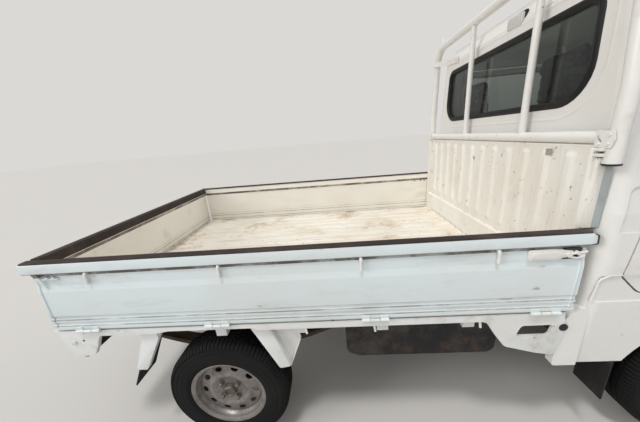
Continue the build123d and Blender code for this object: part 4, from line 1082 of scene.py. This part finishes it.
# Columns: name, face, opening, how far the path grows and stands out, section, finish, body, sharp angle
RUNS = [
    ("rear_window_seal", "back", REAR_OPENING, -18, 0, SEAL, seal_rubber, "chassis", 35),
    ("windscreen_seal", "front", SCREEN_OPENING, 0, 0, SEAL, seal_rubber, "chassis", 35),
    ("door_seal_left", 1, DOOR_OPENING, 0, 0, SLIM_SEAL, seal_rubber, "door_left", 35),
    ("door_seal_right", -1, DOOR_OPENING, 0, 0, SLIM_SEAL, seal_rubber, "door_right", 35),
    ("rear_window_swage", "back", REAR_OPENING, 34, -0.5, SWAGE, cab_paint, "chassis", 60),
]
for name, face, rows, grow, out, section, material, body, sharp in RUNS:
    run = bmesh.new()
    sweep(run, seal_path(face, rows, grow, out), section, closed=True, up=OUTWARD[face])
    add_piece(name, run, material, body, sharp)
print("runs round openings:", len(RUNS))

# %% [markdown]
# The rear lamps are boxes with a coloured face towards the back only. The lens is three
# plates side by side in a black housing: red outside, then amber, then clear inside.

# %% Rear lamps
LENS_BANDS = [
    (0.06, 0.48, "red", lens_red), (0.50, 0.78, "amber", lens_amber), (0.80, 0.94, "clear", lens_clear)]
LAMP_INNER = 480
LAMP_OUTER = 682
for side, word in SIDES:
    housing = bmesh.new()
    block(housing, (-1680, -1643), (LAMP_INNER, LAMP_OUTER), (462.5, 559), 5, side)
    for y in (LAMP_INNER + 10, LAMP_OUTER - 10):
        bar(housing, (-1679, y, 472), (-1684, y, 472), 3.5, side=side)
    add_piece(f"rear_lamp_{word}", housing, moulded_black, node="rear_lamps")
    for start, end, colour, material in LENS_BANDS:
        glass = bmesh.new()
        band = [LAMP_OUTER - (LAMP_OUTER - LAMP_INNER) * t for t in (start, end)]
        block(glass, (-1686.5, -1679), band, (470, 552), 2.5, side)
        add_piece(f"rear_lens_{colour}_{word}", glass, material)
print("rear lamps made")

# %% [markdown]
# A work lamp sits over the rear window and looks back over the bed: a slim black case,
# and a fluted lens whose face bows out; it is opaque, and its silver is painted reflection of a chrome bowl.

# %% Work lamp
LENS_OUTLINE = [(62, 1702), (158, 1698), (170, 1712), (170, 1746), (74, 1750), (62, 1738)]
LENS_BOW = [(1, 0), (1, 5), (0.96, 8), (0.8, 10.5), (0.5, 12), (0.1, 12.6)]
case = bmesh.new()
block(case, (353, 366), (-175, -58), (1695, 1752), 5)
add_piece("work_lamp_case", case, moulded_black, node="bed_lamp")
lens_face = bmesh.new()
edge = rounded(LENS_OUTLINE, 9, 4)
rings = [[(354 - out, -point.x, point.y) for point in shrunk(edge, scale)] for scale, out in LENS_BOW]
loft(lens_face, rings)
add_piece("work_lamp_lens", lens_face, lens_painted_reflector)
print("work lamp made")

# %% [markdown]
# The headboard is one sheet with twelve pressed ribs. A grid of points is pushed back
# and forward by a depth that depends only on where the point is: soft ribs that fade at
# both ends, and a step along the foot.

# %% Headboard
RIB_Y = [54.5 + 109 * k for k in range(-6, 6)]
HEAD_HALF = 693
HEAD_SHEET = 2.5


def ease(value, start, end):
    """0 before start, 1 after end, and a soft step between; start may be above end."""
    t = max(0.0, min(1.0, (value - start) / (end - start)))
    return t * t * (3 - 2 * t)


def head_x(y, z):
    """The sheet's face: ribs, the step at its foot, and slow dents."""
    rib = max(ease(abs(y - spot), 24, 11) for spot in RIB_Y)
    rib = rib * ease(z, 806, 836) * ease(z, 1200, 1172)
    return 300 - 11 * rib - 13 * ease(z, 787, 775) + 0.9 * noise.noise(Vector((y * 0.008, z * 0.008, 5)))


def stations(start, end, size):
    """Even places from start to end."""
    count = max(1, round((end - start) / size))
    return [start + (end - start) * k / count for k in range(count + 1)]


head = bmesh.new()
levels = stations(648, 770, 20)[:-1] + stations(770, 840, 5)[:-1]
levels += stations(840, 1172, 14)[:-1] + stations(1172, 1213, 5)
columns = stations(-HEAD_HALF, HEAD_HALF, 6)
rings = []
for z in levels:
    front = [(head_x(y, z), y, z) for y in columns]
    rings.append(front + [(x + HEAD_SHEET, y, z) for x, y, z in reversed(front)])
loft(head, rings)
for side, word in SIDES:
    flange = bmesh.new()
    block(flange, (312, 338), (694, 707), (953, 1176), 1, side)
    block(head, (289, 313), (692, 708), (953, 1176), 1.5, side)
    block(head, (275, 301), (688, 696.5), (652, 1206), 1.5, side)
    add_piece(f"headboard_edge_{word}", flange, dark_edge_paint)
block(head, (299, 322), (-690, 690), (1206, 1213), 1)
add_piece("headboard_sheet", head, headboard_paint, sharp=30, node="headboard")
patch = bmesh.new()
block(patch, (289.3, 291.5), (-523, -498), (1172, 1195), 0.6)
for z in (1120, 972, 955):
    turned(patch, [(0, AXIS), (0, 6), (-1.5, 5), (-1.5, AXIS)], (299.5, 668, z), "X", 16)
add_piece("headboard_fittings", patch, hardware)
print("ribs:", len(RIB_Y))

# %% [markdown]
# The guard frame is one long tube bent over the cab. It leans in with the cab's sides
# above the belt line. A cross tube, two bars and two stubs are welded to it, folded
# plates clamp it to the headboard, and a strap on each side ties it to the cab. Black
# plugs close its feet.

# %% Guard frame
GUARD_X = 312
POST_Y = 724
TOP_Z = 1831
CROSS_Z = 1233
LEAN = 45
# Columns: y and z of the start, y and z of the end, radius
GUARD_BARS = [
    (-POST_Y, CROSS_Z, POST_Y, CROSS_Z, 20), (-320, CROSS_Z, -320, TOP_Z, 14), (180, CROSS_Z, 180, TOP_Z, 14),
    (-600, 1822, -600, 1885, 10), (600, 1822, 600, 1885, 10),
]
STRAP = [(286, 700, 1742), (288, 668, 1739), (334, 610, 1731), (347, 590, 1729), (347, 430, 1712)]
STRAP_SECTION = [(0, -17), (0, 17), (-3.5, 17), (-3.5, -17)]
CLAMP = [(-684, 1208), (-736, 1205), (-742, 1230), (-736, 1254), (-684, 1256)]
posts = [(GUARD_X, -POST_Y, 1160), (GUARD_X, -POST_Y, 1370), (GUARD_X, LEAN - POST_Y, TOP_Z)]
posts += [(x, -y, z) for x, y, z in reversed(posts)]
guard = bmesh.new()
sweep(guard, rounded(posts, [0, 300, 105, 105, 300, 0], 10, closed=False), circle(22, 28))
for y_start, z_start, y_end, z_end, radius in GUARD_BARS:
    bar(guard, (GUARD_X, y_start, z_start), (GUARD_X, y_end, z_end), radius, 24)
add_piece("guard_tubes", guard, guard_paint, sharp=50, node="guard_frame")
plugs = bmesh.new()
for side, word in SIDES:
    clamp = bmesh.new()
    plate(clamp, [(side * y, z) for y, z in rounded(CLAMP, 4, 3)], (289, 0, 0), (0, 1, 0), (0, 0, 1), -4, 1)
    block(clamp, (286, 326), (684, 688), (1208, 1256), 1.5, side)
    for z in (1181, 1197):
        block(clamp, (277, 300), (690, 722), (z, z + 9), 2, side)
    for y, z in ((698, 1216), (726, 1243), (726, 1217)):
        bar(clamp, (287, y, z), (281, y, z), 5, 6, side)
    loft(clamp, [[(x + u, side * y, z + v) for u, v in STRAP_SECTION] for x, y, z in STRAP])
    for y, z in ((540, 1723), (455, 1714)):
        bar(clamp, (344, y, z), (338, y, z), 6.5, 6, side)
    add_piece(f"guard_clamp_{word}", clamp, guard_paint)
    foot = (GUARD_X, side * POST_Y, 1160.5)
    turned(plugs, [(0, AXIS), (0, 22.6), (-5, 22.6), (-6.5, 20), (-6.5, AXIS)], foot, "Z", 28)
add_piece("guard_plugs", plugs, moulded_black)
print("guard frame made")

# %% [markdown]
# A folded bracket holds the rubber mudguard on each side of a rear wheel. The front one
# is a strip with a recessed gusset behind it, and the rear one is a slim leaning strip.
# Narrow plates along their edges are the folds.

# %% Mudguard brackets
STRIP_ROWS = [(-882, 622, 0), (-806, 622, 0), (-736, 412, 6), (-782, 404, 6)]
GUSSET_ROWS = [(-806, 622, 0), (-736, 412, 4), (-684, 540, 10), (-704, 622, 0)]
REAR_ROWS = [(-1321, 620, 0), (-1241, 620, 0), (-1362, 414, 8), (-1410, 414, 8)]
# Columns: x and z of the start, x and z of the end, nearest and furthest y
FOLDS = [
    (-736, 414, -806, 622, 682, 710), (-736, 414, -686, 540, 682, 702), (-1362, 418, -1244, 620, 690, 710),
    (-1410, 418, -1324, 620, 690, 710),
]
for side, word in SIDES:
    bracket = bmesh.new()
    for rows, low, high in ((STRIP_ROWS, 708, 712), (GUSSET_ROWS, 682, 685), (REAR_ROWS, 708, 712)):
        on_side(bracket, fold(rows, 4), side, low, high, 0.8)
    for x0, z0, x1, z1, low, high in FOLDS:
        on_side(bracket, [(x0, z0), (x0 + 3, z0), (x1 + 3, z1), (x1, z1)], side, low, high, 0.5)
    add_piece(f"mudguard_bracket_{word}", bracket, sill_paint, node="rear_mudguards")
print("mudguard brackets made")

# %% [markdown]
# The skin turns in round the rear window before the rubber starts, and a pressed line
# runs up the cab's rear corner. Two wipers lie on the windscreen. Each is a turned
# pivot, a swept arm and a swept blade.

# %% Window flange, corner swage and wipers
flange = bmesh.new()
section = [(-3, -6), (-3, -0.2), (0, 0.8), (19, -0.4), (21, -6)]
sweep(flange, seal_path("back", REAR_OPENING, 1), section, closed=True, up=OUTWARD["back"])
add_piece("rear_window_flange", flange, cab_paint, sharp=60)
SWAGE_ROWS = [(356, 676), (361, 770), (392, 786), (428, 786)]
LEAN_UP = (1, 0, 0.4)
for side, word in SIDES:
    line = bmesh.new()
    spots = rounded([(x, side * (cab_size(z)[0] - 0.6), z) for x, z in SWAGE_ROWS], 14, 6, closed=False)
    sweep(line, spots, [(-4, -1), (-2, 1.2), (0, 1.8), (2, 1.2), (4, -1)], up=(0, side, 0))
    add_piece(f"cab_side_swage_{word}", line, cab_paint, sharp=60)


def on_screen(y, z, out):
    """A place over the windscreen, which is set 12 mm into the skin."""
    return Vector((front_x(y, z) - 12 + out, y, z + out * 0.35))


for name, pivot in (("wiper_left", 300), ("wiper_right", -200)):
    arm = bmesh.new()
    base = Vector((front_x(pivot, 1008), pivot, 1008))
    turned(arm, [(-4, AXIS), (-4, 14), (8, 13), (14, 9), (15, AXIS)], base, "X", 24)
    reach = [base + Vector((10, 0, 2)), on_screen(pivot - 40, 1042, 17), on_screen(pivot - 240, 1062, 16)]
    sweep(arm, rounded(reach, 25, 5, closed=False), [(-6, -2), (6, -2), (4, 3), (-4, 3)], up=LEAN_UP)
    blade = [on_screen(pivot - 60 - 40 * k, 1052 + k * 1.6, 6) for k in range(10)]
    sweep(arm, blade, [(-1.5, -5), (1.5, -5), (4, 1), (3, 7), (-3, 7), (-4, 1)], up=LEAN_UP)
    add_piece(name, arm, moulded_black)
print("wipers made")

# %% [markdown]
# A headlamp is a dark seat and a bowed glass over it. Both are shells that follow the
# nose: rings of the same outline shrink to its middle, each at its own depth.

# %% Headlamps
LAMP_ROWS = [(395, 690, 30), (640, 700, 30), (640, 850, 60), (395, 815, 30)]
SHELL_RINGS = [1, 0.97, 0.9, 0.75, 0.55, 0.35, 0.15, 0.02]


def dished(outline, depth, thick):
    """A closed shell over an outline on the nose; depth is a function of 1 at the rim to 0."""
    shape = bmesh.new()
    rings = []
    for inner, order in ((0, SHELL_RINGS), (thick, SHELL_RINGS[::-1])):
        for s in order:
            rings.append([(front_x(q.x, q.y) - depth(s) - inner, q.x, q.y) for q in shrunk(outline, s)])
    loft(shape, rings, closed=True)
    return shape


for side, word in SIDES:
    outline = fold([(side * y, z, radius) for y, z, radius in LAMP_ROWS], 8)
    add_piece(f"headlamp_seat_{word}", dished(outline, lambda s: 6, 3), seal_rubber)
    cover = dished(shrunk(outline, 0.965), lambda s: 2.5 - 9 * (1 - s ** 3), 2.5)
    add_piece(f"headlamp_lens_{word}", cover, headlamp_glass, sharp=60, node="headlamps")
print("headlamps made")

# %% [markdown]
# A door handle is a plate with a pull and a lock. A mirror is a foot on the door, a bent
# arm, a soft case and a glass in its rear face.

# %% Door handles and mirrors
for side, word in SIDES:
    door = f"door_{word}"
    handle = bmesh.new()
    on_side(handle, rounded(oblong(470, 604, 958, 990), 8), side, 729, 737, 2.5)
    on_side(handle, rounded(oblong(480, 560, 962, 978), 6, 4), side, 736, 740, 1.5)
    turned(handle, [(0, AXIS), (0, 9), (3, 8), (3.5, AXIS)], (585, 736.5, 974), "Y", 24, side)
    add_piece(f"door_handle_{word}", handle, moulded_black, door)
    mirror = bmesh.new()
    block(mirror, (1371, 1425), (729, 741), (989, 1039), 5, side)
    path = [(1398, side * 736, 1012), (1398, side * 776, 1040), (1398, side * 824, 1132)]
    sweep(mirror, rounded(path, 22, 6, closed=False), circle(9, 16))
    block(mirror, (1373, 1424), (769, 880), (1101, 1309), 14, side)
    add_piece(f"mirror_case_{word}", mirror, moulded_black, door, 40, node=f"mirror_{word}")
    outline = rounded(oblong(-side * 871, -side * 778, 1110, 1300), 10)
    glass = plate(bmesh.new(), outline, (1373.5, 0, 0), (0, -1, 0), (0, 0, 1), 1.8, 0.5)
    add_piece(f"mirror_glass_{word}", glass, bright_metal, door)
print("handles and mirrors made")

# %% [markdown]
# Inside, each door has a flat lining with an arm rest, a winder for the glass, and a
# short pull. None of it can be seen in the photo, so it is plain.

# %% Door linings
for side, word in SIDES:
    door = f"door_{word}"
    lining = bmesh.new()
    on_side(lining, rounded(oblong(492, 1244, 752, 988), [40, 40, 20, 20], 6), side, 674.5, 684, 2.5)
    outline = rounded([(600, 866), (930, 866), (960, 902), (585, 902)], 12)
    on_side(lining, outline, side, 640, 677, 6)
    add_piece(f"door_lining_{word}", lining, cabin_plastic, door)
    winder = bmesh.new()
    profile = [(0, AXIS), (0, 22), (-8, 20), (-14, 12), (-15, AXIS)]
    turned(winder, profile, (1020, 675, 850), "Y", 24, side)
    bar(winder, (1020, 664, 850), (1100, 658, 815), 7, 10, side)
    profile = [(0, AXIS), (0, 9), (-26, 11), (-30, 8), (-30, AXIS)]
    turned(winder, profile, (1100, 660, 815), "Y", 20, side)
    on_side(winder, rounded(oblong(545, 640, 934, 962), 8, 4), side, 662, 676, 3)
    add_piece(f"door_winder_{word}", winder, moulded_black, door)
print("door linings made")

# %% [markdown]
# The seats are foam under vinyl. Each pad starts as a slightly small form, is remeshed,
# and is blown up by a short cloth simulation, so that its faces crown and its edges stay
# tight. The movement is capped. Then the sewn channels are pressed in.

# %% Padded seats
VOXEL = 9
AIR_FRAMES = 20
CHANNEL_WIDTH = 7
CHANNEL_DEPTH = 6


def pad_form(rows, low, high, bevel):
    """A side outline of x and z between two distances from the middle, with soft edges."""
    outline = fold(rows)
    shape = on_side(bmesh.new(), outline, 1, low, high)
    flat = [face for face in shape.faces if len(face.verts) == len(outline)]
    soften(shape, {edge for face in flat for edge in face.edges}, bevel, 4, 0.5)
    return shape


def puffed(shape, cap):
    """The shape, in millimetres, as a mesh in metres that a cloth simulation has inflated."""
    bmesh.ops.recalc_face_normals(shape, faces=shape.faces)
    bmesh.ops.scale(shape, vec=(MM, MM, MM), verts=shape.verts)
    pad = linked("pad", as_mesh(shape))
    remesh = pad.modifiers.new("voxels", "REMESH")
    remesh.mode = "VOXEL"
    remesh.voxel_size = VOXEL * MM
    result = evaluated(pad)
    pad.modifiers.clear()
    pad.data = result
    cloth = pad.modifiers.new("air", "CLOTH")
    cloth.settings.use_pressure = True
    cloth.settings.uniform_pressure_force = 4
    cloth.settings.effector_weights.gravity = 0
    cloth.settings.quality = 5
    cloth.point_cache.frame_start = 1
    cloth.point_cache.frame_end = AIR_FRAMES
    for step in range(1, AIR_FRAMES + 1):
        bpy.context.scene.frame_set(step)
    start, result = result, evaluated(pad)
    for before, after in zip(start.vertices, result.vertices):
        move = after.co - before.co
        if move.length > cap * MM:
            after.co = before.co + move * (cap * MM / move.length)
    pad.modifiers.clear()
    bpy.data.objects.remove(pad)
    bpy.context.scene.frame_set(1)
    return result


def channelled(mesh, lines, axis):
    """Presses sewn channels into a pad, in metres, where one coordinate is near a line."""
    for corner, normal in [(v, v.normal.copy()) for v in mesh.vertices]:
        nearest = min(abs(corner.co[axis] - line * MM) for line in lines) / (CHANNEL_WIDTH * MM)
        corner.co -= normal * (CHANNEL_DEPTH * MM * math.exp(-nearest * nearest))
    return mesh


# Columns: name, side outline, nearest and furthest y, bevel, cap on the movement, channels, their axis, node
PADS = [
    ("seat_cushion", [(498, 702, 18), (918, 702, 22), (930, 815, 42), (512, 803, 20)], 110, 560, 24, 20,
     [590, 680, 770, 860], 0, "seat_cushions"),
    ("seat_back", [
        (458, 702, 16), (405, 1180, 40), (405, 1332, 30), (468, 1332, 34), (492, 1150, 40), (545, 905, 40),
        (480, 812, 10), (480, 702, 6)], 112, 558, 22, 18,
     [880, 950, 1020, 1090, 1160, 1230], 2, "seat_backs"),
    ("head_pad", [(416, 1346, 22), (398, 1545, 26), (452, 1552, 26), (476, 1346, 24)], 232, 438, 24, 10,
     [1392, 1432, 1472, 1512], 2, None),
]
for name, rows, low, high, bevel, cap, lines, axis, node in PADS:
    mesh = channelled(puffed(pad_form(rows, low, high, bevel), cap), lines, axis)
    for side, word in SIDES:
        copy = mesh.copy()
        copy.materials.clear()
        if side < 0:
            copy.transform(Matrix.Scale(-1, 4, (0, 1, 0)))
            copy.flip_normals()
        pad = add_object(f"{name}_{word}", copy, seat_vinyl, "chassis", 80, node)
        smooth = pad.modifiers.new("smooth", "SUBSURF")
        smooth.levels = smooth.render_levels = 1
for side, word in SIDES:
    stalks = bmesh.new()
    for y in (285, 385):
        bar(stalks, (440, y, 1325), (440, y, 1356), 5, side=side)
    add_piece(f"head_pad_stalks_{word}", stalks, hardware)
print("pads:", len(PADS) * 2)

# %% [markdown]
# The stage is a pale floor that runs to the horizon, under a graded sky: bright above
# and dimmer at the sides, so that each fold of a white panel has its own grey. Broad
# suns add soft direction. To the camera the sky has the floor's colour.

# %% Stage and light
scene = bpy.context.scene
scene.view_settings.view_transform = "Standard"

floor_mesh = bpy.data.meshes.new("studio floor")
floor_mesh.from_pydata([(-60, -60, 0), (60, -60, 0), (60, 60, 0), (-60, 60, 0)], [], [(0, 1, 2, 3)])
floor = linked("studio_floor", floor_mesh)
concrete = Finish("pale floor")
pale = concrete.mix(concrete.noise(1.5, 4) * 0.5, (0.60, 0.585, 0.56), (0.54, 0.525, 0.50))
floor_mesh.materials.append(concrete.set(base_color=pale, roughness=0.85))
floor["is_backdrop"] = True

SKY_STOPS = [
    (0.0, (0.34, 0.32, 0.30)), (0.50, (0.36, 0.35, 0.34)), (0.62, (0.60, 0.60, 0.60)), (1.0, (1.0, 1.0, 0.99))]
world = bpy.data.worlds.new("soft sky")
world.use_nodes = True
scene.world = world
tree = world.node_tree
sky = {name: tree.nodes.new(f"ShaderNode{kind}") for name, kind in {
    "given": "Background", "direction": "TexCoord", "split": "SeparateXYZ", "height": "MapRange",
    "ramp": "ValToRGB", "path": "LightPath", "either": "MixShader"}.items()}
sky["seen"], sky["result"] = tree.nodes["Background"], tree.nodes["World Output"]
sky["seen"].inputs["Color"].default_value = (0.71, 0.695, 0.67, 1)
sky["given"].inputs["Strength"].default_value = 0.68
sky["height"].inputs["From Min"].default_value = -1
stops = sky["ramp"].color_ramp.elements
while len(stops) < len(SKY_STOPS):
    stops.new(0.5)
for stop, (position, colour) in zip(stops, SKY_STOPS):
    stop.position = position
    stop.color = (*colour, 1)
wired(tree, sky, (
    ("direction", "Generated", "split", 0), ("split", "Z", "height", "Value"), ("height", 0, "ramp", 0),
    ("ramp", 0, "given", "Color"), ("path", "Is Camera Ray", "either", 0), ("given", 0, "either", 1),
    ("seen", 0, "either", 2), ("either", 0, "result", "Surface")))

# Columns: name, where the light comes from, strength, width in degrees, colour
SUNS = [
    ("overhead", (-0.10, -0.32, 1.0), 1.15, 9, (1.0, 0.99, 0.975)),
    ("camera side", (-0.20, -1.0, 0.50), 0.30, 40, (0.93, 0.97, 1.0)),
    ("rear", (-1.0, -0.42, 0.50), 1.2, 22, (1.0, 0.985, 0.96)),
    ("front", (1.0, 0.45, 0.35), 0.7, 50, (1.0, 0.98, 0.96)),
]
for name, spot, strength, wide, colour in SUNS:
    lamp = bpy.data.lights.new(name, "SUN")
    lamp.angle = math.radians(wide)
    lamp.energy = strength
    lamp.color = colour
    linked(name, lamp).rotation_euler = Vector(spot).to_track_quat("Z", "Y").to_euler()
print("suns:", len(SUNS))

# %% Finish
new_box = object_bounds()
sizes = {"cad": [list(corner) for corner in cad_box], "visual": [list(corner) for corner in new_box]}
print("CAD box", [round(v, 4) for corner in cad_box for v in corner])
print("new box", [round(v, 4) for corner in new_box for v in corner])
